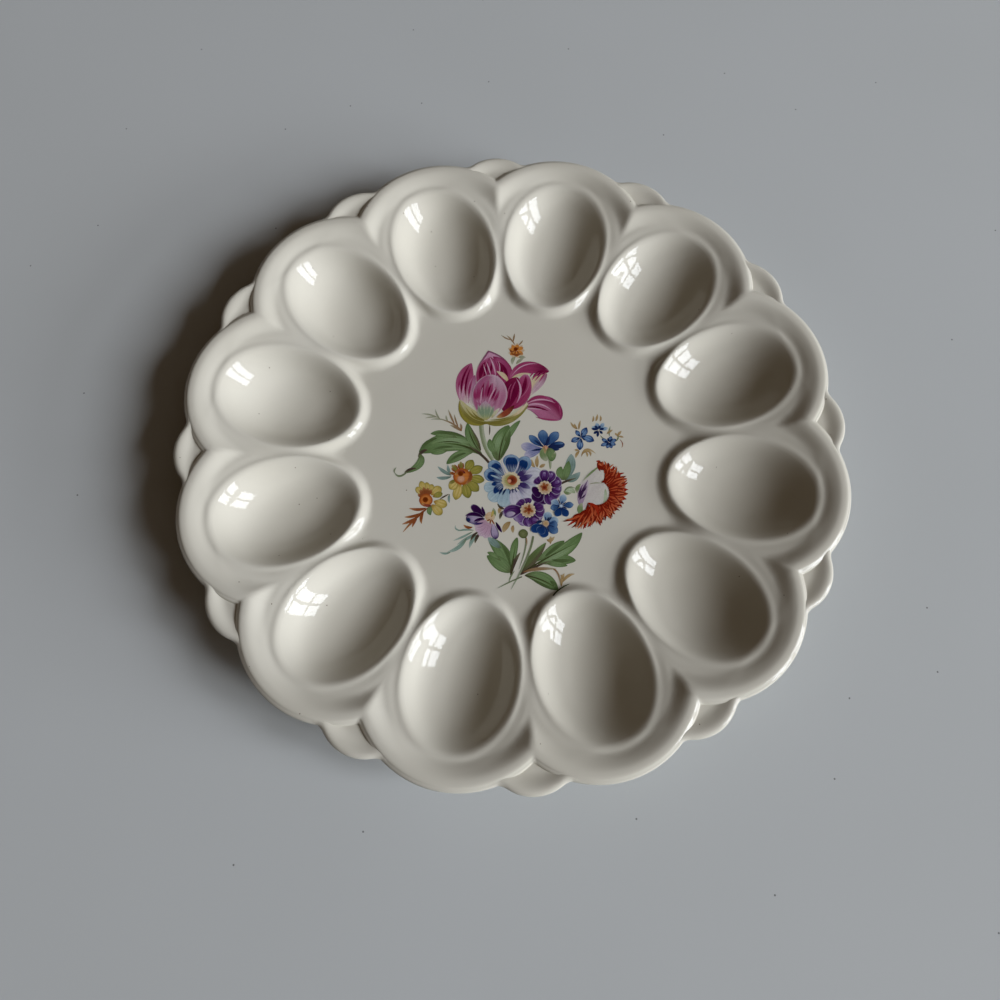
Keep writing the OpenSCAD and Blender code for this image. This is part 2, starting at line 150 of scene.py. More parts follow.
# Glazed earthenware: a cast white body under a clear cream glaze. The eye gets an even ivory with faint
# clouds where the glaze runs thicker, a sharp wet gloss that wavers a little, and a few iron specks.
glaze = {
    "ivory": "#dad6c9", "ivoryDeep": "#d3cebf", "speck": "#6d5a45",
    "roughness": 0.02, "ior": 1.52, "shine": 0.2,
    "cloudSize": 35.0, "waverSize": 16.0, "waverHeight": 0.03,
    "speckSpacing": 6.0, "speckSize": 0.42, "speckShare": 0.5,
}


def glazedEarthenware():
    material, tree, shader = newMaterial("glazed earthenware, slip cast")
    place = addNode(tree, "ShaderNodeTexCoord").outputs["Object"]
    cloud = addNode(tree, "ShaderNodeTexNoise", {
        "Vector": place, "Scale": 1 / (glaze["cloudSize"] * mm), "Detail": 3.0, "Roughness": 0.5})
    tint = addNode(tree, "ShaderNodeMix", data_type="RGBA", inputs={
        0: cloud.outputs["Fac"], 6: linear(glaze["ivory"]), 7: linear(glaze["ivoryDeep"])})
    colour = addNode(tree, "ShaderNodeMix", data_type="RGBA", inputs={
        0: specks(tree, place, glaze, "3D"), 6: tint.outputs[2], 7: linear(glaze["speck"])})
    waver = addNode(tree, "ShaderNodeTexNoise", {
        "Vector": place, "Scale": 1 / (glaze["waverSize"] * mm), "Detail": 1.0})
    bump = addNode(tree, "ShaderNodeBump", {
        "Height": waver.outputs["Fac"], "Strength": 1.0, "Distance": glaze["waverHeight"] * mm})
    tree.links.new(colour.outputs[2], shader.inputs["Base Color"])
    tree.links.new(bump.outputs["Normal"], shader.inputs["Normal"])
    shader.inputs["Roughness"].default_value = glaze["roughness"]
    shader.inputs["IOR"].default_value = glaze["ior"]
    shader.inputs["Specular IOR Level"].default_value = glaze["shine"]
    return material


# Bare earthenware: the same clay, wiped clean of glaze and fired dry. The eye gets a dull buff with a
# sandy grain, drawn coarser than the clay's own so that it shows.
bisque = {
    "buff": "#c9bda4", "buffDark": "#a8977b", "roughness": 0.85, "grainSize": 0.7, "grainHeight": 0.05,
}


def bareEarthenware():
    material, tree, shader = newMaterial("bare earthenware, wiped and fired")
    place = addNode(tree, "ShaderNodeTexCoord").outputs["Object"]
    grain = addNode(tree, "ShaderNodeTexNoise", {
        "Vector": place, "Scale": 1 / (bisque["grainSize"] * mm), "Detail": 4.0})
    colour = addNode(tree, "ShaderNodeMix", data_type="RGBA", inputs={
        0: grain.outputs["Fac"], 6: linear(bisque["buff"]), 7: linear(bisque["buffDark"])})
    bump = addNode(tree, "ShaderNodeBump", {
        "Height": grain.outputs["Fac"], "Strength": 0.6, "Distance": bisque["grainHeight"] * mm})
    tree.links.new(colour.outputs[2], shader.inputs["Base Color"])
    tree.links.new(bump.outputs["Normal"], shader.inputs["Normal"])
    shader.inputs["Roughness"].default_value = bisque["roughness"]
    return material


glazeMaterial = glazedEarthenware()
bisqueMaterial = bareEarthenware()

# The platter: a flat floor, a ring of egg wells, and a lobe of rim behind each well. bluntShare is how much
# of a well's length lies on the rim's side of its widest line, and bowlShare how much of its depth follows
# a square law. The ground holds from groundFrom outwards, as only the bowl counts further in. Steep gathers
# the slope's fall into its middle, and the crease between neighbours narrows to creaseAtRim over creaseRun.
platter = {
    "across": 255.4, "height": 23.0, "wall": 4.2, "floor": 11.8, "wells": 12,
    "wellLength": 52.0, "wellWidth": 38.6, "wellDepth": 11.2, "bluntShare": 0.465, "bowlShare": 0.55,
    "lipInRise": 2.7, "lipOutDrop": 2.0, "lipSoft": 4.5,
    "groundFrom": 0.55, "slope": 7.0, "steep": 1.45, "floorMargin": 2.6,
    "rimBand": 12.8, "lobe": 37.6, "rise": 7.0, "crestFlat": 0.7,
    "crease": 3.2, "creaseAtRim": 1.3, "creaseRun": 16.71, "grooveDepth": 0.3, "grooveWidth": 6.0,
    "edgeReach": 3.0, "edgeDrop": 2.5, "edgeReturn": 1.7,
    "seamDepth": 0.15, "seamWidth": 0.7, "seamAt": 0.62,
    "arcSteps": 48, "sideSteps": 26, "floorSteps": 16, "discRows": 8, "underDiscRows": 4,
    "bowlRows": 16, "bandRows": 16, "edgeRows": 28, "underBowlRows": 7, "underBandRows": 8,
}
halfStep = math.pi / platter["wells"]
rimRadius = platter["across"] / 2
lobeX = rimRadius - platter["lobe"]
reachOut = platter["wellLength"] * platter["bluntShare"]
reachIn = platter["wellLength"] - reachOut
wellX = rimRadius - platter["rimBand"] - reachOut
lipInX = wellX - reachIn
lipInHeight = platter["floor"] + platter["lipInRise"]
lipOutHeight = platter["height"] - platter["lipOutDrop"]
floorRadius = lipInX - platter["slope"] - platter["floorMargin"]
crestReach = platter["lobe"] - platter["edgeReach"]


def eggShare(x, y, margin):
    # how far out a point lies on an egg outline grown by a margin: 1 on the outline
    along = np.where(x > wellX, reachOut, reachIn) + margin
    return np.hypot((x - wellX) / along, y / (platter["wellWidth"] / 2 + margin))


def lipLevel(x):
    # the lip climbs evenly from the floor's side to the rim's side, and stays level beyond the well
    climb = np.minimum((x - lipInX) / platter["wellLength"], 1)
    return lipInHeight + (lipOutHeight - lipInHeight) * climb


def bowl(x, y, margin):
    # a bowl below the lip, part square law and part fourth power, so that its side is steeper
    # than its bottom
    out = eggShare(x, y, margin)
    share = platter["bowlShare"]
    return lipLevel(x) - (platter["wellDepth"] + margin) * (1 - share * out ** 2 - (1 - share) * out ** 4)


def ground(x, y):
    # the ware round a well: lip, slope to the floor, a faint groove behind the lip, and the rim's rise.
    # Near a sector's side the point is read a little further in, so that neighbours meet in a round
    # valley or ridge, which tightens towards the rim.
    gap = x * math.sin(halfStep) - np.abs(y) * math.cos(halfStep)
    nearRim = ease((np.hypot(x, y) - wellX) / platter["creaseRun"])
    crease = platter["crease"] + (platter["creaseAtRim"] - platter["crease"]) * nearRim
    push = np.where(gap < crease, gap ** 2 / (2 * crease) + crease / 2, gap) - gap
    x = x + push * math.sin(halfStep)
    y = np.sign(y) * (np.abs(y) - push * math.cos(halfStep))
    share = np.maximum(eggShare(x, y, 0), platter["groundFrom"])
    beyond = np.hypot(x - wellX, y) * (1 - 1 / share)
    fadeFrom, fadeTo = wellX - reachIn / 2, wellX + platter["crease"]
    outward = ease((np.hypot(x, y) - fadeFrom) / (fadeTo - fadeFrom))
    fall = ease((beyond / platter["slope"] - 0.5) * platter["steep"] + 0.5) * (1 - outward)
    mound = lipLevel(x) - (lipLevel(x) - platter["floor"]) * fall
    fromLobe = np.hypot(x - lobeX, y)
    climb = (fromLobe - crestReach + platter["crestFlat"]) / platter["rise"] + 1
    rise = np.where(x > lobeX, ease(climb), 0)
    offLine = np.abs(beyond / platter["grooveWidth"] - 0.5)
    groove = platter["grooveDepth"] * outward * ease(1 - 2 * offLine) * (1 - rise)
    return mound + (platter["height"] - mound) * rise - groove


def topLevel(x, y):
    # the lower of ground and bowl, which meet in a soft lip
    return softMin(ground(x, y), bowl(x, y, 0), platter["lipSoft"])


def underLevel(x, y):
    # the same a wall lower, under a bowl that is a wall larger
    wall = platter["wall"]
    return softMin(ground(x, y) - wall, bowl(x, y, wall), platter["lipSoft"])


def lobeArc(reach):
    # the points of a lobe at some reach from its centre, from one side of the sector to the other
    far = lobeX * math.cos(halfStep) + math.sqrt(reach ** 2 - (lobeX * math.sin(halfStep)) ** 2)
    end = math.atan2(far * math.sin(halfStep), far * math.cos(halfStep) - lobeX)
    turn = np.linspace(-end, end, platter["arcSteps"] + 1)
    return np.stack([lobeX + reach * np.cos(turn), reach * np.sin(turn)], -1), far


def sectorBorder(reach):
    # a sector's outline: the lobe's arc, one side, the floor's arc, the other side, and back to the start
    arc, far = lobeArc(reach)
    along = np.linspace(far, floorRadius, platter["sideSteps"] + 1)[1:-1, None]
    side = along * np.array([math.cos(halfStep), math.sin(halfStep)])
    turn = np.linspace(halfStep, -halfStep, platter["floorSteps"] + 1)
    inner = floorRadius * np.stack([np.cos(turn), np.sin(turn)], -1)
    return np.concatenate([arc, side, inner, side[::-1] * [1, -1], arc[:1]])


def sectorGrid(border, bowlShares, bandRows):
    # rows run from the well's middle to its lip, then on to the sector's border
    well = np.array([wellX, 0.0])
    lip = well + (border - well) / eggShare(border[:, 0], border[:, 1], 0)[:, None]
    inner = well + (lip - well) * bowlShares[:, None, None]
    outer = lip + (border - lip) * np.linspace(0, 1, bandRows + 1)[1:, None, None]
    return np.concatenate([inner, outer])


def withLevel(grid, level):
    # a flat grid of points with a height for each
    return np.concatenate([grid, level[..., None]], -1)


def turned(grid, angle):
    # a grid turned about the platter's axis
    cosine, sine = math.cos(angle), math.sin(angle)
    return grid @ np.array([[cosine, sine, 0], [-sine, cosine, 0], [0, 0, 1]])


def floorDisc(level, rows):
    # rings of points from the axis out to the sectors, all at one level
    bearing = np.linspace(0, 2 * math.pi, platter["wells"] * platter["floorSteps"] + 1)
    return polar(np.linspace(0, floorRadius, rows + 1)[:, None], bearing, level)


def rolledEdge(look, thick, roll):
    # a quarter oval over the crest, then a tighter one back under it, as distances inward and down
    over = roll <= math.pi / 2 + tiny
    inward = np.where(over, look["edgeReach"], look["edgeReturn"]) * (1 - np.sin(roll))
    down = look["edgeDrop"] - np.where(over, look["edgeDrop"], thick - look["edgeDrop"]) * np.cos(roll)
    return inward, down


def makePlatter():
    # one sector's face, rolled edge and underside, repeated round the axis and closed by two floor discs
    rows = np.sin(np.linspace(0, math.pi / 2, platter["bowlRows"] + 1))
    grid = sectorGrid(sectorBorder(crestReach), rows, platter["bandRows"])
    top = withLevel(grid, topLevel(grid[..., 0], grid[..., 1]))
    arcColumns = platter["arcSteps"] + 1
    crest = top[-1, :arcColumns, 2]
    roll = np.linspace(0, math.pi, platter["edgeRows"] + 1)
    inward, down = rolledEdge(platter, platter["wall"], roll)
    # a fine seam runs along the roll, pressed in square to its face
    offSeam = (roll - platter["seamAt"]) * platter["edgeReach"] / (platter["seamWidth"] / 2)
    seam = platter["seamDepth"] * np.exp(-offSeam ** 2)
    reach = platter["lobe"] - inward - seam * np.sin(roll)
    down = down + seam * np.cos(roll)
    edge = np.stack([withLevel(lobeArc(far)[0], crest - low) for far, low in zip(reach, down)])
    underRows = np.linspace(0, 1, platter["underBowlRows"] + 1)
    underGrid = sectorGrid(sectorBorder(reach[-1]), underRows, platter["underBandRows"])
    under = withLevel(underGrid, underLevel(underGrid[..., 0], underGrid[..., 1]))
    # the underside takes up the edge's last row
    under[-1, :arcColumns] = edge[-1]
    under[-1, -1] = edge[-1, 0]
    angles = halfStep + 2 * halfStep * np.arange(platter["wells"])
    grids = [turned(grid, angle) for angle in angles for grid in (top, edge, under)]
    grids.append(floorDisc(platter["floor"], platter["discRows"]))
    grids.append(floorDisc(platter["floor"] - platter["wall"], platter["underDiscRows"]))
    shellPiece("platterBody", grids, glazeMaterial, "platter_body")


makePlatter()
print("platter body made")

# A petal behind each notch of the rim: a dished face a step below the lobes, with its own rolled edge.
# Reach is the radius of its circle, which ends setBack inside the rim's.
petal = {
    "reach": 16.4, "setBack": 0.7, "fillet": 2.6, "drop": 0.3, "dish": 1.4, "fade": 6.0, "thick": 3.0,
    "inset": 2.4, "tuck": 0.25, "sink": 0.8, "sinkLength": 2.5,
    "edgeReach": 2.0, "edgeDrop": 1.7, "edgeReturn": 1.0, "columns": 60, "rows": 14, "edgeRows": 10,
}


def makePetal(number):
    # at each bearing the profile runs from inside the lobes out over the face, round the edge
    # and back underneath
    reach, lobeReach = petal["reach"], platter["lobe"]
    petalX = rimRadius - petal["setBack"] - reach
    centreGap = math.hypot(petalX * math.cos(halfStep) - lobeX, petalX * math.sin(halfStep))
    toPetal = math.atan2(petalX * math.sin(halfStep), petalX * math.cos(halfStep) - lobeX)
    fold = math.acos((lobeReach ** 2 + centreGap ** 2 - reach ** 2) / (2 * lobeReach * centreGap))
    meetTurn = toPetal - fold
    meet = np.array([lobeX + lobeReach * math.cos(meetTurn), lobeReach * math.sin(meetTurn)])
    widest = halfStep - math.atan2(meet[1], meet[0]) + (petal["fillet"] + petal["sinkLength"]) / rimRadius
    bearing = np.linspace(-widest, widest, petal["columns"] + 1)
    off = halfStep - np.abs(bearing)
    lobeEdge = lobeX * np.cos(off) + np.sqrt(lobeReach ** 2 - (lobeX * np.sin(off)) ** 2)
    outer = petalX * np.cos(bearing) + np.sqrt(reach ** 2 - (petalX * np.sin(bearing)) ** 2)
    outer = -softMin(-outer, petal["tuck"] - lobeEdge, petal["fillet"])
    # the last stretch at both ends sinks into the lobes, so that no end shows
    outer = outer - petal["sink"] * ease(1 - (widest - np.abs(bearing)) * rimRadius / petal["sinkLength"])
    inner = lobeEdge - petal["inset"]
    share = np.linspace(0, 1, petal["rows"] + 1)[:, None]
    face = inner + (outer - petal["edgeReach"] - inner) * share
    crest = platter["height"] - petal["drop"]
    faceLevel = crest - petal["dish"] * ease((outer - petal["edgeReach"] - face) / petal["fade"])
    roll = np.linspace(0, math.pi, petal["edgeRows"] + 1)[1:, None]
    inward, down = rolledEdge(petal, petal["thick"], roll)
    edge, edgeLevel = outer - inward, faceLevel[-1] - down
    back = inner + (edge[-1] - inner) * share[::-1][1:]
    backLevel = np.broadcast_to(edgeLevel[-1], back.shape)
    radius = np.concatenate([face, edge, back, face[:1]])
    skin = polar(radius, bearing, np.concatenate([faceLevel, edgeLevel, backLevel, faceLevel[:1]]))
    # each end closes on the middle of its own profile
    profiles = [skin[:, 0], skin[:, -1]]
    ends = [np.stack([line, np.broadcast_to(line[:-1].mean(0), line.shape)]) for line in profiles]
    grids = [turned(grid, 2 * halfStep * number) for grid in (skin, *ends)]
    name, node = f"rimPetal.{number:02d}", f"petal_{number:02d}"
    shellPiece(name, grids, glazeMaterial, node)


for number in range(1, platter["wells"] + 1):
    makePetal(number)
print("petals made")

# The foot ring: a dry band that tapers to the table, with its corners worn round
foot = {"outer": 46.0, "width": 5.0, "taper": 0.8, "corner": 0.9, "columns": 144, "cornerRows": 6}


def makeFoot():
    # a profile turned round the axis: down the outside, round both corners, up the inside,
    # and across the top
    top = platter["floor"] - platter["wall"]
    turn = np.linspace(0, math.pi / 2, foot["cornerRows"] + 1)
    low = foot["outer"] - foot["taper"], foot["outer"] - foot["width"] + foot["taper"]
    corner = foot["corner"]
    outside = np.stack([low[0] - corner + corner * np.cos(turn), corner - corner * np.sin(turn)], -1)
    inside = np.stack([low[1] + corner - corner * np.sin(turn), corner - corner * np.cos(turn)], -1)
    above = np.array([[foot["outer"], top]])
    across = np.array([[foot["outer"] - foot["width"], top], [foot["outer"], top]])
    profile = np.concatenate([above, outside, inside, across])
    skin = polar(profile[:, :1], np.linspace(0, 2 * math.pi, foot["columns"] + 1), profile[:, 1:])
    shellPiece("footRing", [skin], bisqueMaterial, "foot_ring")


makeFoot()
print("foot ring made")

# Overglaze enamel: a printed transfer, fired on the glaze. The eye gets soft, slightly grainy strokes of
# mineral colour that shade from foot to tip, a little less glossy than the glaze. The transfer's own grain
# is finer, and is drawn this coarse so that it shows. Lift holds the print off the glaze, layer steps a
# stroke over the ones it crosses, and film is how thick a stroke is.
enamel = {
    "roughness": 0.12, "ior": 1.5, "grainSize": 0.4, "grainAmount": 0.22,
    "lift": 0.02, "layer": 0.002, "film": 0.01,
}


def enamelPrint():
    material, tree, shader = newMaterial("overglaze enamel, printed and fired")
    tint = addNode(tree, "ShaderNodeAttribute", attribute_name="enamel")
    place = addNode(tree, "ShaderNodeTexCoord").outputs["Object"]
    grain = addNode(tree, "ShaderNodeTexNoise", {
        "Vector": place, "Scale": 1 / (enamel["grainSize"] * mm), "Detail": 2.0})
    colour = addNode(tree, "ShaderNodeMix", data_type="RGBA", blend_type="OVERLAY", inputs={
        0: enamel["grainAmount"], 6: tint.outputs["Color"], 7: grain.outputs["Fac"]})
    tree.links.new(colour.outputs[2], shader.inputs["Base Color"])
    shader.inputs["Roughness"].default_value = enamel["roughness"]
    shader.inputs["IOR"].default_value = enamel["ior"]
    return material


enamelMaterial = enamelPrint()

# Shades are a stroke's colours at its foot, over its body and at its tip; bodyAt moves the middle one.
# Left and right tint a side. Edge is the rim's colour and where it starts. Streak draws fine lines:
# their colour, their number, and where along the stroke they start and end. Hair is how much the brush
# shows, and round shades a stroke from its middle outwards instead.
bare = glaze["ivory"]
paints = {
    "wine": {"shades": ("#74173c", "#6a0a35", "#7d1c44")},
    "crimson": {"shades": ("#8d2a53", "#98375f", "#a85078"), "edge": ("#b26c8c", 0.8)},
    "magenta": {"shades": ("#963460", "#9a3c66", "#a8557c"), "edge": ("#84264f", 0.7)},
    "plum": {"shades": ("#b8859e", "#93305c", "#a8557a")},
    "mauveRim": {"shades": ("#7d3555", "#8f5a74", "#84506a")},
    "pinkRim": {"shades": ("#a25579", "#c08aa6", "#c795ae")},
    "pinkLine": {"shades": ("#bd84a0", "#cfa0b6", "#c999b0")},
    "sidePetal": {"shades": (bare, "#a64e74", "#93385e"), "bodyAt": 0.5, "edge": ("#a65a7c", 0.75),
                  "streak": ("#cda9b9", 4, 0.12, 0.6)},
    "sideFold": {"shades": ("#cdbfba", "#b3809a", "#9c567a"), "bodyAt": 0.5},
    "dome": {"shades": ("#a85478", "#983860", "#690d38"), "edge": ("#a65a7c", 0.85)},
    "fold": {"shades": ("#cfc6b4", "#c09fac", "#985a78"), "left": "#cdbd94"},
    "farPetal": {"shades": ("#bd93a8", "#b0688a", "#a8607f"), "left": "#82234c",
                 "edge": ("#96507a", 0.9)},
    "cupLeft": {"shades": ("#97903f", "#a9a05c", "#cbc6ab"), "left": "#8b8236", "right": "#bdb583"},
    "cupRight": {"shades": ("#8f8a42", "#a39a5e", "#c9c2a4"), "left": "#cfcab0", "right": "#8a8444"},
    "olive": {"shades": ("#726a2c", "#7d7436", "#a0965e")},
    "cream": {"shades": ("#c2ad80", "#d3c19f", "#d2c5a8")},
    "ember": {"shades": ("#b88f55", "#8f4330", "#5c1a22")},
    "blush": {"shades": ("#cfcab6", "#b37b94", "#c09fae"), "bodyAt": 0.35, "left": "#a0577a",
              "edge": ("#c6a9b6", 0.9), "streak": ("#9c4f76", 6, 0.3, 0.9)},
    "wash": {"shades": ("#a8a066", "#c6c1a0", "#d5d1c2")},
    "greenWash": {"shades": ("#a9a368", "#a8ae92", "#b891a8")},
    "greenStreak": {"shades": ("#939e70", "#82967a", "#b293a4")},
    "softGreen": {"shades": ("#8d9a6c", "#76895c", "#a8ab90")},
    "stem": {"shades": ("#7f8a66", "#8b9472", "#7d8a63"), "left": "#a9ad94"},
    "strand": {"shades": ("#a7b596", "#b3bfa2", "#9aa884")},
    "leaf": {"shades": ("#5f6b46", "#6a8354", "#657e4e"), "edge": ("#5a7145", 0.7),
             "streak": ("#83996c", 5, 0.15, 0.85)},
    "leafLight": {"shades": ("#778d60", "#869d72", "#768e5e")},
    "leafDark": {"shades": ("#4b5a36", "#53663d", "#5c7148")},
    "leafBrown": {"shades": ("#4d4232", "#5c6a40", "#6a8650"), "right": "#5d5743"},
    "leafBlue": {"shades": ("#5d6a58", "#7f958b", "#90a49f"), "streak": ("#69807a", 3, 0.1, 0.9)},
    "vein": {"shades": ("#3f3327", "#434a2a", "#56703c")},
    "bark": {"shades": ("#5a463c", "#4b3f36", "#6d6a50")},
    "thin": {"shades": ("#6a7355", "#7b8666", "#98a28a")},
    "fernBrown": {"shades": ("#8a5f3c", "#93795a", "#a39a80")},
    "fernGrey": {"shades": ("#8c8768", "#9a9c82", "#adae99")},
    "fernBlue": {"shades": ("#6a7a5c", "#87a093", "#a9b8ac")},
    "rust": {"shades": ("#7a3f22", "#8a4c2a", "#a9794c")},
    "tan": {"shades": ("#8f7448", "#a98f63", "#b9a57e")},
    "orange": {"shades": ("#c77a35", "#d0863c", "#b8793e")},
    "paleBlue": {"shades": ("#6d8ba6", "#9db3be", "#adc0c6"), "edge": ("#7f9bb0", 0.88)},
    "lilacWhite": {"shades": ("#9a94b0", "#c3c0cb", "#cfccd2"), "edge": ("#a9aac0", 0.85)},
    "whitePetal": {"shades": ("#43326a", "#c2c0ca", "#cfd0d4"), "bodyAt": 0.55, "edge": ("#9fadc2", 0.87),
                   "streak": ("#7d749c", 6, 0.05, 0.6)},
    "blueRim": {"shades": ("#1d3868", "#5c7c9e", "#8ba4ba"), "edge": ("#3c5a84", 0.92)},
    "deepBlue": {"shades": ("#2a3f66", "#0c2c60", "#15386c"), "edge": ("#8fa8c0", 0.86),
                 "streak": ("#c0cbd4", 6, 0.0, 0.6)},
    "midBlue": {"shades": ("#152a58", "#3a5c88", "#6684a6"), "edge": ("#2c4a76", 0.86),
                "streak": ("#132a5c", 5, 0.0, 0.7)},
    "cobalt": {"shades": ("#0f2450", "#123468", "#1a3e74"), "edge": ("#8aa2bc", 0.9)},
    "skyBlue": {"shades": ("#2b4c80", "#7f9ab4", "#a6b9c6"), "edge": ("#c2ced4", 0.86),
                "streak": ("#33588f", 5, 0.0, 0.7)},
    "lavender": {"shades": ("#4a5486", "#9093b2", "#b9b4c6"), "streak": ("#59639a", 4, 0.0, 0.8)},
    "inkPetal": {"shades": ("#15305f", "#41689a", "#1b3a70"), "edge": ("#163364", 0.62),
                 "streak": ("#a4bccf", 3, 0.2, 0.9)},
    "night": {"shades": ("#141f46", "#192950", "#2a3f6a")},
    "shade": {"shades": ("#2b1d4a", "#3c2d60", "#8580a0")},
    "violet": {"shades": ("#1f0728", "#3c1650", "#4f2a64"), "edge": ("#b3a8bc", 0.82),
               "streak": ("#69477f", 4, 0.35, 1.0)},
    "violetPale": {"shades": ("#3b1552", "#6d4d86", "#a596b4"), "edge": ("#4b2866", 0.8)},
    "violetDark": {"shades": ("#1d0628", "#2c0b3c", "#381549"), "edge": ("#8f809e", 0.88)},
    "pinkMass": {"shades": ("#b493a2", "#bd9db0", "#c5aebb"), "streak": ("#a57d96", 5, 0.1, 0.9)},
    "lilacRim": {"shades": ("#c2b2c2", "#a89ab4", "#7c6a92"), "edge": ("#3a2852", 0.6)},
    "peach": {"shades": ("#c9a27c", "#d0b493", "#c9b89a")},
    "olivePetal": {"shades": ("#8c6a2c", "#8f8a3c", "#8a8440"), "edge": ("#6f6d2e", 0.7),
                   "streak": ("#b0a256", 3, 0.2, 0.9)},
    "goldPetal": {"shades": ("#a27a34", "#c2a858", "#b5a152"), "edge": ("#8f8440", 0.7),
                  "streak": ("#d3c386", 3, 0.2, 0.9)},
    "scarlet": {"shades": ("#8f1d0c", "#a52e16", "#922412")},
    "scarletDark": {"shades": ("#6d1408", "#7d1c0c", "#702012")},
    "coral": {"shades": ("#a83a1e", "#b8502e", "#c4714a")},
    "cup": {"shades": ("#c9bcc2", "#ccc6bf", "#d3cec3"), "left": "#c9c2bc", "hair": 0.015},
    "lilacCup": {"shades": ("#94809a", "#ad98aa", "#c3b6bf")},
    "purple": {"shades": ("#4a2f52", "#3a2246", "#8b7392")},
    "bud": {"shades": ("#7d845a", "#6a7148", "#565e38"), "round": True},
    "anemoneHeart": {"shades": ("#a98b4a", "#a39a5c", "#cfc6a6"), "round": True},
    "creamHeart": {"shades": ("#a8804e", "#b89a72", "#c9b09a"), "round": True},
    "redHeart": {"shades": ("#4a160e", "#7d331f", "#a8623a"), "round": True},
    "daisyHeart": {"shades": ("#cf8a4c", "#c8793a", "#9a4a20"), "round": True},
    "darkSpot": {"shades": ("#5c2408", "#6d2c0a", "#8c4518"), "round": True},
    "paleSpot": {"shades": ("#c9d2da", "#aebccc", "#7d95b4"), "round": True},
    "blushSpot": {"shades": ("#d8a98c", "#cf9a7c", "#b87f5c"), "round": True},
}

# How the brush lays a paint down. Each of its hairs leaves a faint wave, given by how it turns across the
# stroke, along it, and from one stroke to the next. A stroke gets more pairs of rows and columns for each
# millimetre of its length and width.
brush = {
    "bodyAt": 0.4, "tipFrom": 0.55, "sideReach": 0.25, "sideSoft": 0.9, "rimFrom": 0.35,
    "streakLean": 3.0, "streakIn": 0.15, "streakHead": 0.2, "streakOut": 0.3, "streakAmount": 0.75,
    "hair": 0.07, "hairs": ((9.0, 1.5, 1.0), (17.0, -1.0, 2.3)),
    "rows": 12, "rowPairs": 0.5, "columns": 7, "columnPairs": 1.5, "mostColumnPairs": 5,
}
laid = []  # the box of every stroke so far, and the layer it lies in


def tinted(colour, hexColour, share):
    # from one colour towards another, by a share at each point
    return colour + (np.array(linear(hexColour)[:3]) - colour) * share[..., None]


def strokeColour(u, v, paint, phase):
    # u runs along the stroke from 0 to 1, v across it from -1 to 1. The shades blend along it, then come
    # its sides, its streaks, the brush's hairs and its rim.
    root, body, tip = paint["shades"]
    colour = np.array(linear(root)[:3])
    colour = tinted(colour, body, ease(u / paint.get("bodyAt", brush["bodyAt"])))
    colour = tinted(colour, tip, ease((u - brush["tipFrom"]) / (1 - brush["tipFrom"])))
    for side, sign in (("left", 1), ("right", -1)):
        if side in paint:
            colour = tinted(colour, paint[side], ease((sign * v + brush["sideReach"]) / brush["sideSoft"]))
    if "streak" in paint:
        streak, count, start, end = paint["streak"]
        lines = (0.5 + 0.5 * np.cos(math.pi * count * v + brush["streakLean"] * u)) ** 2
        lines = lines * ease((u - start) / brush["streakIn"] + brush["streakHead"])
        lines = lines * ease((end - u) / brush["streakOut"])
        colour = tinted(colour, streak, brush["streakAmount"] * lines)
    hairs = sum(np.sin(across * v + along * u + shift * phase) for across, along, shift in brush["hairs"])
    colour = colour * (1 + paint.get("hair", brush["hair"]) * hairs[..., None])
    if "edge" in paint:
        edge, start = paint["edge"]
        rim = np.maximum(np.abs(v), (u - brush["rimFrom"]) / (1 - brush["rimFrom"]))
        colour = tinted(colour, edge, ease((rim - start) / (1 - start)))
    return colour


def topAt(x, y):
    # the platter's upper face under any point: level floor in the middle, a sector's face further out
    angle = np.arctan2(y, x)
    bearing = angle - (np.floor(angle / (2 * halfStep)) + 0.5) * 2 * halfStep
    radius = np.hypot(x, y)
    face = topLevel(radius * np.cos(bearing), radius * np.sin(bearing))
    return np.where(radius < floorRadius, platter["floor"], face)


def stroke(paint, foot, bow, tip, width, belly=0.5, blunt=0.7, stub=0.0):
    # a spine that bends towards its bow, as wide as a power of a sine that peaks at the belly;
    # its points crowd towards the ends and the sides
    rows = brush["rows"] + 2 * int(brush["rowPairs"] * math.dist(foot, tip))
    columns = brush["columns"] + 2 * min(int(brush["columnPairs"] * width), brush["mostColumnPairs"])
    u = 0.5 - 0.5 * np.cos(np.linspace(0, math.pi, rows + 1))[:, None]
    v = np.sin(np.linspace(-math.pi / 2, math.pi / 2, columns))
    foot, tip = np.array(foot, float), np.array(tip, float)
    bow = (foot + tip) / 2 if bow is None else np.array(bow, float)
    spine = (1 - u) ** 2 * foot + 2 * u * (1 - u) * bow + u ** 2 * tip
    along = 2 * (1 - u) * (bow - foot) + 2 * u * (tip - bow)
    along = along / np.maximum(np.hypot(along[:, :1], along[:, 1:]), tiny)
    wave = np.sin(math.pi * u ** (math.log(0.5) / math.log(belly)))
    share = np.maximum(wave, 0) ** blunt
    share = np.where(u < belly, stub + (1 - stub) * share, share)
    x = spine[:, :1] - along[:, 1:] * share * v * width / 2
    y = spine[:, 1:] + along[:, :1] * share * v * width / 2
    look = paints[paint]
    run = np.hypot(2 * u - 1, share * v) if look.get("round") else u + 0 * v
    colour = strokeColour(run, v + 0 * u, look, foot[0] + 2 * foot[1])
    # a stroke lies one layer above the highest that its box meets
    left, low, right, high = x.min(), y.min(), x.max(), y.max()
    under = [box[4] for box in laid if box[0] < right and box[2] > left and box[1] < high and box[3] > low]
    layer = 1 + max(under, default=0)
    laid.append((left, low, right, high, layer))
    level = topAt(x, y) + enamel["lift"] + enamel["layer"] * layer
    return np.stack([x, y, level], -1), colour


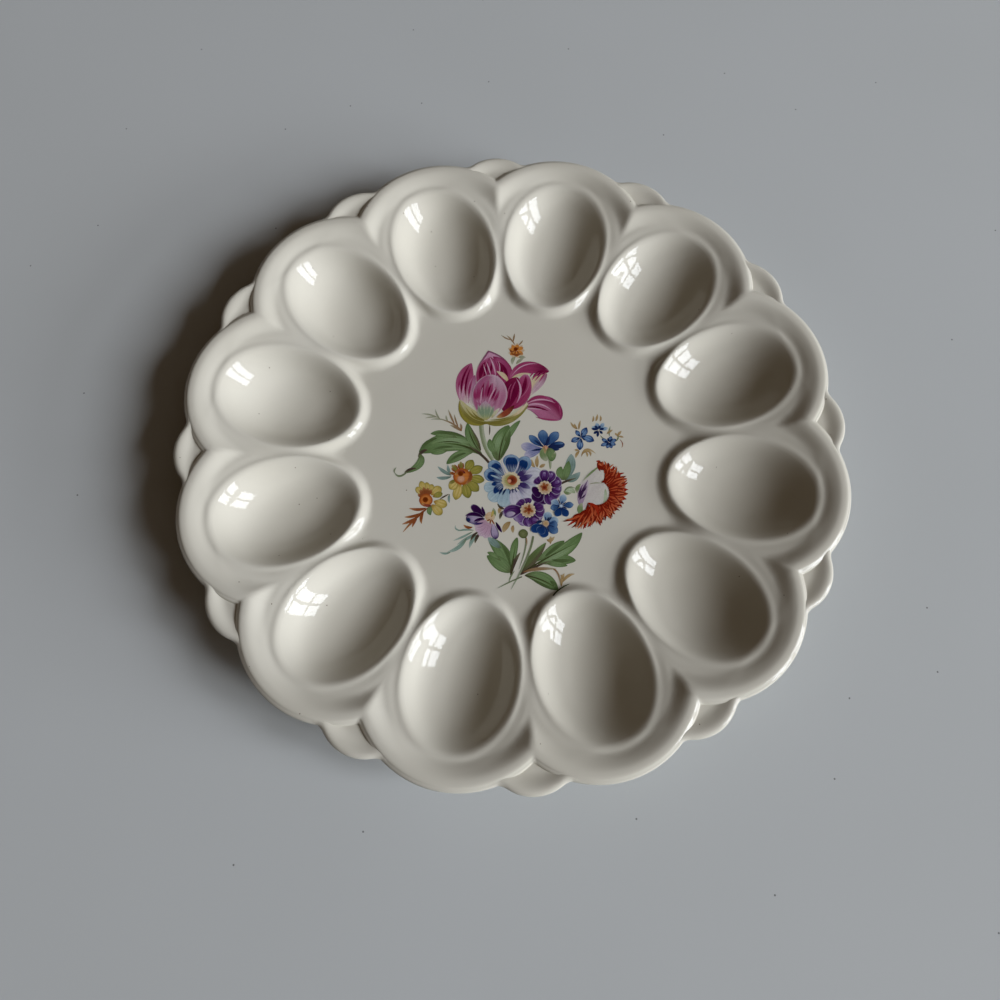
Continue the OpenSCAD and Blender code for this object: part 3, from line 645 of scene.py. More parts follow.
def ring(paint, centre, start, tips, width, belly=0.6, blunt=0.55):
    # petals round a heart, each given by its bearing in degrees and its reach
    strokes = []
    for bearing, reach in tips:
        cosine, sine = math.cos(math.radians(bearing)), math.sin(math.radians(bearing))
        foot = centre[0] + start * cosine, centre[1] + start * sine
        tip = centre[0] + reach * cosine, centre[1] + reach * sine
        strokes.append((paint, foot, None, tip, width, belly, blunt))
    return strokes


def dot(paint, centre, radius):
    # a stroke as wide as it is long, which a half power of the sine makes nearly round
    x, y = centre
    return [(paint, (x - radius, y), None, (x + radius, y), 2 * radius, 0.5, 0.5)]


def makePrint(node, strokes):
    # an island of the print: its strokes in one mesh with a colour at each point, and a film's thickness.
    # The piece is called like its node, in camel case.
    first, *others = node.split("_")
    name = first + "".join(word.capitalize() for word in others)
    grids, colours = zip(*(stroke(*values) for values in strokes))
    mesh = gridMesh(name, grids)
    colours = np.concatenate([colour.reshape(-1, 3) for colour in colours])
    tint = mesh.attributes.new("enamel", "FLOAT_COLOR", "POINT")
    tint.data.foreach_set("color", np.concatenate([colours, np.ones((len(colours), 1))], 1).ravel())
    piece = addPiece(name, mesh, enamelMaterial, node)
    film = piece.modifiers.new("film", "SOLIDIFY")
    film.thickness, film.offset = enamel["film"] * mm, -1


# The stem, the leaves and the ferns lie under the flowers. A stroke gives its paint, foot, bow, tip and
# width, then its belly, bluntness and stub where they differ. Where several rings of petals share a
# flower's heart, the heart is named first.
makePrint("print_tulip_stem", [
    ("stem", (-11.5, 10.4), (-12, 1.5), (-7.4, -6.4), 1.9, 0.5, 0.35, 0.9),
    ("strand", (-10.6, 4.6), (-9.6, -2), (-6.4, -5.8), 0.8),
    ("bark", (-8.3, 9.4), (-8.2, 7), (-8.6, 4.8), 0.5),
])
makePrint("print_leaf_left", [
    ("leaf", (-11.5, -3.6), (-22, 7.6), (-36.2, -1), 7.6, 0.6, 0.6),
    ("leaf", (-21, 4), (-27, 7.4), (-31.6, 6.6), 2.8),
    ("leaf", (-25, -0.4), (-28, -1.4), (-31.6, -1.6), 2),
    ("leaf", (-14.5, -1.8), (-20, -1.4), (-25.8, -6.2), 3.8, 0.6, 0.7),
    ("leaf", (-12.4, -1.6), (-16.6, 3.2), (-16.9, 10.4), 4.2, 0.5, 0.7),
    ("leafBrown", (-12.2, -1.4), (-13.6, 3.2), (-16.4, 9), 1.6),
    ("leafDark", (-18, 4.4), (-24, 7.8), (-31, 6.6), 1.4),
    ("leafDark", (-29, 4.6), (-34, 3.8), (-36, -0.6), 1.4),
    ("leafLight", (-16, 1.8), (-22.5, 4.6), (-31.6, 2.6), 2.2),
    ("leafDark", (-23, 0.6), (-27, 1.4), (-31, -0.2), 1),
    ("leafDark", (-18, -2.2), (-21.5, -2.4), (-25, -5.6), 1),
    ("vein", (-9.4, -6.6), (-14.4, 1.4), (-26.5, 2.4), 1, 0.25, 0.5, 0.6),
    ("vein", (-19.6, 2), (-24, 3.6), (-30, 2.6), 0.5),
    ("vein", (-13.2, -1), (-16, 3.5), (-16.7, 9), 0.5),
    ("bark", (-9, -6.7), (-12, -2.6), (-17, 1), 0.9, 0.4, 0.6, 0.3),
    ("bark", (-33, 0), (-35.6, -0.2), (-36.5, -3), 1.4, 0.5, 0.6),
    ("leaf", (-35.9, -1.8), (-33.8, -6), (-41.6, -9), 3, 0.45, 0.6),
    ("bark", (-37.4, -7.4), (-40.4, -7.2), (-42.2, -9.3), 1.1),
    ("thin", (-41.2, -8.8), (-44.6, -11.8), (-45.9, -8.4), 0.8, 0.4, 0.5, 0.5),
    ("thin", (-45.9, -8.8), (-46.3, -7.6), (-45.1, -6.6), 0.6),
])
makePrint("print_leaf_right", [
    ("leaf", (-5.6, -6), (-6, 1.5), (-0.6, 8.6), 6.8, 0.48, 0.65),
    ("leaf", (-6, -3.6), (-8.8, 0.2), (-8.5, 3.3), 2.8),
    ("leaf", (-2.4, 1.8), (-0.4, 6.6), (3.9, 10.4), 2.6, 0.45, 0.6),
    ("leafDark", (-4.8, -4.8), (-1.2, 0.5), (-0.4, 6.4), 1.8),
    ("leafLight", (-6.2, -2), (-6, 2), (-3.2, 6), 2),
    ("vein", (-5.4, -5.6), (-4.6, 1), (-1.4, 7.4), 0.45, 0.3, 0.5, 0.5),
])
makePrint("print_fern_left", [
    ("fernBrown", (-19.4, 7.2), (-22.5, 11.2), (-27.6, 12.6), 0.7, 0.4, 0.4, 0.7),
    ("fernBrown", (-19.4, 7), (-21, 8.8), (-23.8, 9.8), 1.1),
    ("fernBrown", (-19.5, 7.4), (-19.2, 9), (-19.8, 10.4), 0.9),
    ("fernBrown", (-20.6, 8.8), (-21.6, 11.4), (-22, 14.4), 0.7),
    ("fernBrown", (-22, 10.2), (-23.2, 12.8), (-24.3, 16.6), 0.8),
    ("fernGrey", (-24.6, 11.6), (-25.4, 13), (-25.2, 14.2), 0.7),
    ("fernGrey", (-25, 11.9), (-29, 13.2), (-31.4, 12.6), 0.6),
    ("fernGrey", (-27.4, 12.2), (-29, 14), (-29.4, 17), 0.7),
    ("fernGrey", (-28.4, 13.2), (-31.5, 15.2), (-35, 15.2), 0.7),
    ("fernGrey", (-28.4, 13.4), (-31, 14), (-33.6, 13.3), 0.6),
])
makePrint("print_fern_low", [
    ("fernBlue", (-14.5, -34), (-19, -36), (-23, -38.4), 1.2),
    ("fernBlue", (-19.2, -36), (-22, -40.4), (-26.8, -41), 1.5),
    ("fernBlue", (-25.4, -41), (-27.6, -42.2), (-29.6, -40.8), 0.8),
    ("fernBlue", (-16.8, -33.6), (-20.4, -35.6), (-24.4, -36.8), 0.8),
    ("fernBlue", (-16.4, -33.2), (-20, -32.4), (-22.6, -33.2), 0.8),
    ("fernBlue", (-20.4, -33), (-24, -33), (-23.2, -30.8), 0.6),
    ("fernBlue", (-15.4, -35), (-17.6, -36.6), (-18.4, -40), 1.4),
    ("bark", (-14.8, -33.8), (-17, -35), (-17.8, -37.2), 1),
    ("bark", (-14, -34.4), (-15.8, -35.8), (-16.2, -38.2), 1.2),
    ("rust", (-16.8, -31.8), (-18.6, -32.6), (-20.2, -30.8), 1.1),
])
makePrint("print_leaf_side", [
    ("leafBlue", (19.6, -15.4), (22.6, -10), (22.8, -4.6), 4, 0.55, 0.7),
    ("leafBlue", (19.8, -15.4), (23, -15.2), (25.6, -12.2), 2.8),
    ("leaf", (19, -15.2), (17, -12), (18.6, -9.6), 3.2),
    ("leaf", (19.2, -15.2), (20.6, -11.6), (21.6, -7.4), 3),
    ("bark", (17.2, -16.8), (19.4, -15.6), (23.8, -14.6), 0.9, 0.4, 0.5, 0.5),
    ("strand", (19, -19.6), (21, -18.2), (23, -20.6), 2.6),
    ("thin", (18.8, -19.8), (20.6, -17), (23.4, -18.8), 0.7),
    ("softGreen", (18.6, -19.4), (19.6, -21), (21.6, -20.4), 1.2),
])
makePrint("print_leaf_low_left", [
    ("leaf", (-3.2, -50.4), (-4.4, -42.8), (-11.3, -36.2), 5.4, 0.5, 0.65),
    ("leaf", (-3.4, -50), (-6.6, -46.6), (-12, -43.2), 5, 0.5, 0.65),
    ("leaf", (-7, -45.4), (-9.6, -42.4), (-11.8, -42), 1.8),
    ("leafBlue", (-6.6, -40.6), (-9.4, -38.2), (-11.3, -36.2), 2.6),
    ("leafDark", (-3.2, -49), (-3.2, -43), (-7, -38), 1.6),
    ("leaf", (-2.6, -49.6), (-2.8, -42.6), (-0.2, -36.8), 2.8, 0.6, 0.6),
    ("bark", (-3.6, -51.4), (-2.8, -46.4), (0.6, -42.6), 1.5, 0.5, 0.7),
    ("vein", (-3.5, -51.4), (-3, -47), (-1, -40), 0.6, 0.3, 0.5, 0.4),
    ("thin", (-2, -49.4), (-4, -51.6), (-4.4, -53.8), 0.6),
])
makePrint("print_leaf_low_right", [
    ("leafBrown", (0.2, -50.4), (4.6, -46), (10.4, -39.4), 3.6, 0.5, 0.7),
    ("leaf", (6, -46.6), (11.6, -43), (17.4, -39), 3.4, 0.6, 0.7),
    ("leaf", (7, -46.8), (17.6, -44.2), (24.3, -36.2), 4.6, 0.55, 0.7),
    ("leaf", (6, -47.4), (14, -45.2), (21, -46.8), 4, 0.6, 0.65),
    ("leaf", (10, -47.4), (14, -47.6), (17.8, -48.6), 2.2),
    ("leafLight", (8, -46.4), (15, -44.8), (21.6, -40.6), 2),
    ("leafDark", (9.6, -44.6), (13.4, -42), (17, -39.4), 1.4),
    ("leafDark", (12, -46), (16, -47), (19.6, -46.4), 1.4),
    ("bark", (0, -51), (5, -48.4), (12, -46.2), 1, 0.35, 0.6, 0.3),
    ("vein", (0.4, -50.6), (8, -46), (21, -40.4), 0.6, 0.3, 0.5, 0.4),
    ("fernBrown", (1, -50.2), (6, -48.6), (13.6, -49.6), 1.3),
    ("fernBrown", (12.4, -49.6), (14.6, -50.4), (14.6, -56), 0.7, 0.4, 0.5, 0.4),
])
makePrint("print_leaf_tail", [
    ("leaf", (1.6, -51.4), (8.8, -51.4), (13.4, -57.6), 5, 0.55, 0.65),
    ("leafDark", (4, -52.8), (8, -55.4), (12.6, -57.6), 1.2),
    ("vein", (1.6, -51.5), (7.8, -52.4), (13.4, -57.2), 0.5, 0.4, 0.5, 0.4),
    ("leafDark", (10.8, -54), (12.6, -55), (13.4, -57.4), 1.4),
    ("vein", (11.4, -59.8), (13.2, -57.2), (18, -55.4), 0.6, 0.4, 0.5, 0.5),
    ("tan", (14.8, -56.4), (15.2, -53), (16.4, -51.4), 1.1),
    ("tan", (15.4, -54.8), (17, -52), (20.2, -51.8), 1.1),
    ("tan", (15.6, -53.4), (15.4, -52.4), (15, -51.8), 0.7),
])
print("leaves printed")

makePrint("print_bud", [
    ("thin", (2.9, -37), (3.6, -40), (-0.4, -49), 0.6, 0.4, 0.4, 0.7),
    ("thin", (5.8, -36.6), (4.8, -43), (-3.8, -56.4), 0.8, 0.4, 0.4, 0.7),
    ("thin", (0.6, -51.8), (-4, -53.4), (-8.6, -55.6), 0.5, 0.4, 0.4, 0.7),
    ("fernBrown", (3.1, -36.8), (3.3, -38.4), (3.1, -40.2), 0.6),
    *dot("bud", (2.1, -35.5), 1.8),
    ("tan", (10.8, -38.2), (12, -39.4), (13.8, -37.2), 1.4),
    ("tan", (12, -40), (12.2, -38.4), (12.4, -37), 1.1),
])
topFlower = (4.2, 41)
makePrint("print_top_flower", [
    ("fernBrown", (3.8, 43.6), (2.8, 46), (0.6, 48.2), 0.7),
    ("fernBrown", (3.2, 45), (3.6, 47), (4, 48.8), 0.7),
    ("fernBrown", (2.2, 46), (0.4, 46.4), (-1.6, 48.4), 0.6),
    ("fernBrown", (5.2, 43.4), (6.6, 44.4), (7.2, 45.6), 0.6),
    ("fernGrey", (3.8, 38.4), (2.2, 37.6), (2.2, 34.8), 1.5),
    ("fernGrey", (4.6, 38), (6.4, 38), (7.8, 37.8), 1.4),
    ("fernGrey", (3.8, 35), (5, 36.6), (6.8, 37.2), 1.3),
    *ring("peach", topFlower, 0.3, [(40 * i, 3.5) for i in range(9)], 1.6, 0.6, 0.8),
    *ring("orange", topFlower, 0.3, [
        (25, 3.2), (75, 2.8), (125, 3), (170, 2.9), (215, 3.2), (270, 2.8), (325, 3.2)], 1.7, 0.6, 0.7),
    *ring("rust", (4.2, 41.2), 0.2, [(50, 1.8), (100, 1.6), (200, 2), (245, 2.4), (300, 2.2)], 0.6),
    ("rust", (2, 40), (4.2, 38.2), (6.6, 40), 1.1),
    ("rust", (1.6, 41.4), (2.2, 40.4), (3.2, 40.2), 0.9),
    *dot("darkSpot", (4, 41.7), 0.9),
])
makePrint("print_tulip", [
    ("mauveRim", (-5.5, 18), (-4.2, 32.4), (-7.2, 41.6), 14, 0.52, 0.95),
    ("pinkRim", (-5.5, 18), (-4.2, 32), (-6.9, 40.8), 12.8, 0.52, 0.95),
    ("magenta", (-2, 24), (1.4, 33), (-5.4, 38.8), 6.2, 0.5, 0.8),
    ("crimson", (-9.4, 22), (-11.6, 31.6), (-7.2, 38.4), 5.4, 0.5, 0.8),
    ("magenta", (-6, 26), (-5.4, 33), (-6.7, 38.8), 4.4, 0.55, 0.7),
    ("wine", (-11.2, 28.6), (-10.8, 33), (-8.6, 36.6), 1.8),
    ("wine", (-9.6, 29.4), (-8.8, 33), (-7.4, 36.4), 1.2),
    ("wine", (-7.4, 30), (-6.4, 33), (-6, 36.4), 1),
    ("wine", (-2.2, 29.8), (-1.8, 33), (-3.8, 36.4), 1.2),
    ("wine", (-0.4, 28.6), (0, 33), (-3.4, 36.4), 1.4),
    ("pinkLine", (-4.8, 29.5), (-4.8, 34.4), (-6.9, 39), 0.7),
    ("pinkLine", (-6.6, 30), (-7.2, 33), (-8.2, 36.8), 0.5),
    ("pinkLine", (-8.2, 30), (-9, 33), (-9.4, 35.6), 0.4),
    ("pinkLine", (-3.4, 30.6), (-2.4, 33.6), (-3.4, 36.8), 0.4),
    ("cream", (0.2, 27), (-1, 30.2), (-4.3, 32.2), 1.7),
    ("peach", (0.2, 27.6), (-0.4, 30.4), (-2.4, 31.8), 0.6),
    ("sidePetal", (-16.6, 15), (-19.8, 27), (-14.2, 36.3), 7, 0.58, 0.75),
    ("sideFold", (-15, 17), (-15.2, 26), (-13, 31), 3, 0.55, 0.8),
    ("wine", (-18.6, 23), (-19.4, 28.6), (-15, 35.6), 0.9),
    ("wine", (-17.2, 22), (-17.4, 28), (-14.8, 33.8), 0.8),
    ("plum", (-19.6, 21.4), (-20.6, 26), (-18, 32), 0.8),
    ("plum", (-16, 20), (-16, 25), (-13.8, 30), 0.9),
    ("pinkLine", (-18.2, 20), (-18.6, 23.6), (-17.4, 27.4), 0.5),
    ("pinkLine", (-19.2, 20.4), (-20, 24), (-19.4, 27), 0.4),
    ("dome", (1, 28.4), (6.4, 36.4), (16.8, 30.9), 5.6, 0.52, 0.6),
    ("pinkLine", (1.6, 29.6), (5.6, 35.8), (12.4, 34.6), 0.5),
    ("fold", (7.8, 20), (10.4, 25.8), (15.8, 30.2), 4.6, 0.6, 0.6),
    ("cream", (7.8, 20.4), (8.8, 26), (10.6, 29.4), 1.9),
    ("wine", (10, 28.6), (12.4, 31.2), (16.8, 31), 2, 0.6, 0.6),
    ("crimson", (14.6, 30.8), (12.6, 29.6), (10.8, 27), 0.7),
    ("crimson", (13, 31), (11, 29.6), (9.6, 27.4), 0.7),
    ("crimson", (15.6, 30.8), (14, 29), (12.4, 26.4), 0.7),
    ("crimson", (11.4, 31.4), (9.8, 30.4), (8.8, 28.8), 0.6),
    ("cream", (1, 28), (4.4, 31), (9.4, 30.3), 1.3),
    ("crimson", (-0.4, 15.6), (7.6, 19.6), (7.9, 30.1), 5.4, 0.5, 0.6),
    ("crimson", (3, 19.6), (6, 24), (7.2, 30.2), 4.8, 0.6, 0.5),
    ("wine", (4.4, 20.4), (6.8, 24.6), (7.4, 29.6), 1.6),
    ("wine", (-2.2, 14.4), (-0.6, 23.6), (4.2, 28.9), 7, 0.52, 0.6),
    ("pinkLine", (2.8, 17.8), (6.6, 23.4), (3.4, 28.8), 0.8),
    ("crimson", (-0.6, 20), (-0.6, 23.4), (1.4, 26.4), 0.5),
    ("crimson", (0.4, 19), (0.8, 23.6), (3.2, 27.4), 0.6),
    ("farPetal", (5, 16), (13.4, 18.8), (19.9, 9.9), 10.2, 0.62, 0.6),
    ("crimson", (6.4, 16.6), (11.6, 22.2), (17.6, 17.6), 2.4),
    ("pinkLine", (6.2, 16.9), (12, 21), (18.4, 17), 0.6),
    ("pinkLine", (5.8, 16.3), (12, 18.8), (16.4, 14.2), 0.7),
    ("wine", (6, 15.9), (10.6, 16.4), (15.4, 13.8), 0.9),
    ("pinkLine", (5.6, 15.6), (9, 15.4), (12.8, 14.6), 0.5),
    ("crimson", (10, 11.5), (14.5, 9.9), (19.6, 9.9), 0.7),
    ("crimson", (19.6, 10), (20.4, 13), (19.6, 16.4), 0.6),
    ("wash", (-9.6, 10.4), (-15, 12.4), (-16.8, 19), 7, 0.5, 0.8),
    ("cupLeft", (-8.6, 10.6), (-17.2, 10.6), (-19.4, 20.4), 6, 0.5, 0.7),
    ("olive", (-8.4, 9.9), (-17.6, 9.6), (-19.8, 20), 1.5, 0.4, 0.7),
    ("olive", (-9.6, 11), (-15, 11.4), (-17.4, 17.4), 0.8),
    ("olive", (-9.8, 11.4), (-13.6, 12), (-15.2, 16), 0.7),
    ("cupRight", (-10.4, 10.8), (-1, 8.8), (7.6, 17.4), 4.6, 0.45, 0.65),
    ("olive", (-9, 10.6), (-2, 9.6), (4.4, 13.8), 0.7),
    ("olive", (-8, 11.2), (-3, 10.8), (1.4, 12.8), 0.6),
    ("olive", (-12.6, 10.6), (-6, 8.8), (1.8, 10.6), 1),
    ("cream", (1, 12.4), (4.6, 14), (7.2, 18.2), 1.3),
    ("blush", (-8.8, 11.2), (-8.6, 20), (-5.4, 30.6), 14, 0.58, 0.5),
    ("ember", (-5.4, 12.2), (-1.4, 13), (1.9, 17), 2.4),
    ("plum", (-12.2, 18.6), (-14, 22), (-13.2, 25), 1.4),
    ("plum", (-11.4, 18.4), (-12.4, 22.6), (-11.6, 26.8), 1.5),
    ("plum", (-10.4, 18.6), (-10.8, 23), (-9.8, 28), 1.5),
    ("plum", (-9.4, 18.6), (-9, 23.4), (-7.6, 28.4), 1.4),
    ("plum", (-8.4, 18.6), (-7.4, 22.8), (-6, 27.2), 1.4),
    ("plum", (-7.6, 18.4), (-6, 21.8), (-4.8, 25.4), 1.3),
    ("plum", (-6.8, 18), (-4.8, 20.6), (-3.6, 23.8), 1.2),
    ("wine", (-10.6, 21.4), (-10.8, 24.4), (-9.4, 27.4), 0.7),
    ("wine", (-8.6, 21), (-8, 24), (-6.6, 27), 0.7),
    ("wine", (-7, 20), (-5.8, 22.4), (-4.6, 24.6), 0.5),
    ("pinkLine", (-11.2, 17.6), (-11.4, 21.6), (-10.2, 25.4), 0.5),
    ("pinkLine", (-8.4, 17.8), (-7.6, 21.4), (-5, 25), 0.6),
    ("greenWash", (-9.6, 11.2), (-9.8, 15), (-9.4, 19.6), 6.6, 0.45, 0.95),
    ("greenStreak", (-10.6, 12.2), (-12.2, 15), (-12.4, 18.4), 1),
    ("greenStreak", (-10.2, 12), (-11, 15), (-10.8, 19), 1.1),
    ("greenStreak", (-9.6, 12), (-9.6, 15), (-9.2, 18.6), 1),
    ("greenStreak", (-9, 12), (-8.4, 15), (-7.6, 18.6), 1.1),
    ("greenStreak", (-8.4, 12), (-7, 14.6), (-6, 17.4), 1),
    ("wash", (-7.4, 12), (-5.8, 14.4), (-4, 16), 1.2),
])
print("tulip printed")

upperDaisy = (-20, -11.5)
makePrint("print_daisy_upper", [
    ("leafBlue", (-24, -11), (-27, -9.6), (-29.2, -7), 1.4),
    ("leafBlue", (-24, -11.4), (-27.4, -12.4), (-29.8, -11.4), 1.4),
    ("leafBlue", (-24, -10.6), (-25.4, -9.2), (-25.2, -6.6), 1.2),
    ("leafBlue", (-25, -18.4), (-25.6, -20), (-25.2, -22), 0.9),
    *ring("olivePetal", upperDaisy, 2.4, [(55, 7.8), (22, 8.8), (-14, 8.8)], 3.6, 0.6, 0.65),
    *ring("olivePetal", upperDaisy, 2.4, [(-46, 8.8), (-76, 9.2)], 3.8, 0.6, 0.65),
    *ring("goldPetal", upperDaisy, 2.4, [(-107, 9.8), (-135, 7)], 3.6, 0.6, 0.65),
    *ring("rust", upperDaisy, 2.4, [(84, 5.4), (102, 5.2), (120, 5.6), (138, 5.2), (160, 5)], 1.2),
    *ring("olive", upperDaisy, 2.4, [(92, 6), (128, 6), (-152, 5.8)], 1.4),
    *dot("daisyHeart", (-20, -11.6), 3.4),
    ("rust", (-16.9, -9.6), (-15.6, -12.6), (-19, -14.9), 1.4),
    *dot("blushSpot", (-20.4, -12.6), 1.5),
    ("ember", (-22.8, -10.8), (-20.4, -8.8), (-18.6, -10.4), 1.7),
    *dot("darkSpot", (-20.5, -10.4), 1.1),
])
lowerDaisy = (-34, -20)
makePrint("print_daisy_lower", [
    ("bark", (-29, -20.4), (-27, -19.2), (-25.2, -18.4), 0.6),
    ("rust", (-32.8, -23), (-38, -26.6), (-43.2, -32.6), 1),
    ("rust", (-34, -23.4), (-37, -24.6), (-40.6, -23.2), 1.2),
    ("rust", (-35.6, -25.2), (-39, -27), (-42.4, -26.6), 1.1),
    ("rust", (-36.6, -26.4), (-40, -28.6), (-43.4, -29.4), 1.1),
    ("rust", (-35, -24.8), (-36.6, -27), (-36, -29.6), 1.2),
    ("rust", (-37.6, -27.4), (-39, -29), (-39.6, -30.8), 0.9),
    ("leaf", (-32, -22.6), (-33.6, -24.6), (-32.4, -26.4), 2),
    *ring("goldPetal", lowerDaisy, 2.2, [(66, 6.4), (86, 6.8), (104, 7.6), (126, 6.2)], 2.6),
    *ring("goldPetal", lowerDaisy, 2.4, [(38, 7.4)], 3.6),
    *ring("olivePetal", lowerDaisy, 2.6, [(18, 6.6)], 2.4),
    *ring("goldPetal", lowerDaisy, 3, [(-20, 8.4), (-48, 8.6)], 3.6),
    *ring("rust", lowerDaisy, 1.4, [(60, 4.4), (80, 4.6), (100, 5), (120, 4.6), (145, 3.8)], 1.4),
    *dot("daisyHeart", (-34.1, -20.4), 2.6),
    *dot("darkSpot", (-34.3, -20.2), 1.1),
    ("ember", (-35.8, -21.4), (-34, -23), (-32, -22.6), 1.2),
])
makePrint("print_lilac", [
    ("tan", (-5.6, -24.6), (-6.4, -25.6), (-6.6, -27.2), 1.4),
    ("bark", (-4.2, -25.6), (-6, -25), (-7, -23.2), 1.1),
    ("bark", (-4.6, -26), (-6.2, -27.4), (-6.4, -29.4), 1.2),
    ("tan", (-2.4, -30.6), (-4.6, -32), (-5.4, -34.6), 2.2),
    ("tan", (-1.4, -32), (-2, -33.2), (-1.7, -35), 1.3),
    ("softGreen", (-9, -29), (-8.2, -27), (-8.6, -24.8), 1.6),
    *ring("pinkMass", (-10, -29), 1.6, [
        (-92, 7.2), (-108, 7.8), (-124, 7.8), (-140, 7.2), (-156, 6.6)], 3.8),
    ("violetDark", (-12, -28), (-15, -25.4), (-16.8, -23.2), 3, 0.6, 0.5),
    ("lilacRim", (-12.2, -28.8), (-15.8, -27.4), (-19, -29.4), 4.4, 0.6, 0.5),
    ("violetDark", (-12.6, -28.4), (-16, -25.8), (-19.4, -27.4), 1.6),
    ("violetDark", (-12, -29), (-14, -28.6), (-16.4, -29.8), 1.2),
    *dot("night", (-18.3, -29), 0.8),
    ("violetDark", (-11.8, -27.6), (-12.6, -26.2), (-12.9, -24), 1.2),
    ("shade", (-12.6, -30.4), (-15, -31), (-17.4, -30.4), 0.9),
    ("lilacRim", (-9, -30.6), (-8.8, -34), (-8.2, -37), 3, 0.65, 0.5),
    ("violetDark", (-8, -30.4), (-7, -32.6), (-5.9, -34.6), 1.3),
    *dot("peach", (-10, -28.2), 1.9),
    *ring("rust", (-9.8, -29), 0.2, [(-60, 2.6), (-100, 2), (-150, 1.8)], 0.6),
    ("goldPetal", (-9.6, -28.4), (-8.8, -27), (-8.8, -25.6), 1),
])
makePrint("print_cornflower", [
    ("stem", (14, -5), (14.6, -7.4), (14.2, -10.4), 1.2, 0.4, 0.4, 0.8),
    ("tan", (8.4, -9.4), (7, -8.2), (7.3, -6), 1.3),
    ("tan", (9.2, -9.4), (9, -7.6), (9.6, -4.6), 1.5),
    ("tan", (10, -9.4), (11.2, -9), (12.4, -8.2), 1.3),
    ("midBlue", (12.4, -1.4), (9.4, 1), (7, 4), 3, 0.65, 0.65),
    ("lavender", (12, -1.8), (7, -1.6), (3.6, 0.2), 3.8, 0.65, 0.55),
    ("lavender", (12, -2.2), (8, -3), (4.6, -4.6), 3.4, 0.65, 0.55),
    ("midBlue", (12.8, -1), (12.2, 2.4), (12.4, 6), 4, 0.66, 0.6),
    ("midBlue", (13.2, -1), (15.8, 2), (18.4, 4.8), 3.7, 0.66, 0.6),
    ("night", (13.4, -1.6), (17, -0.4), (20.6, -0.6), 3, 0.65, 0.5),
    ("midBlue", (16, -0.2), (18, 0.4), (20.2, -0.2), 1.2),
    ("night", (14, -1.8), (16.6, -2.4), (18.4, -2.4), 1.5),
    ("night", (12.6, -1.2), (10.4, 0.4), (8.8, 2), 0.9),
    ("night", (12, -2), (9.4, -2.2), (7.4, -2.4), 0.8),
    ("night", (13, -0.6), (14.4, 1.4), (14.8, 3.4), 1.2),
    *dot("blushSpot", (12.9, -1.8), 1.2),
    ("softGreen", (12.6, -1.8), (11.4, -4), (13.2, -7), 3.4, 0.5, 0.5),
    ("leaf", (13.6, -2), (16, -4), (14.6, -7.2), 3.6, 0.5, 0.5),
    ("softGreen", (15, -5.4), (16.4, -5), (16.6, -3.4), 1.6),
    ("tan", (12.4, -1), (12.8, -2.6), (12.6, -4), 1),
])
middleFlower = (34.4, 4.8)
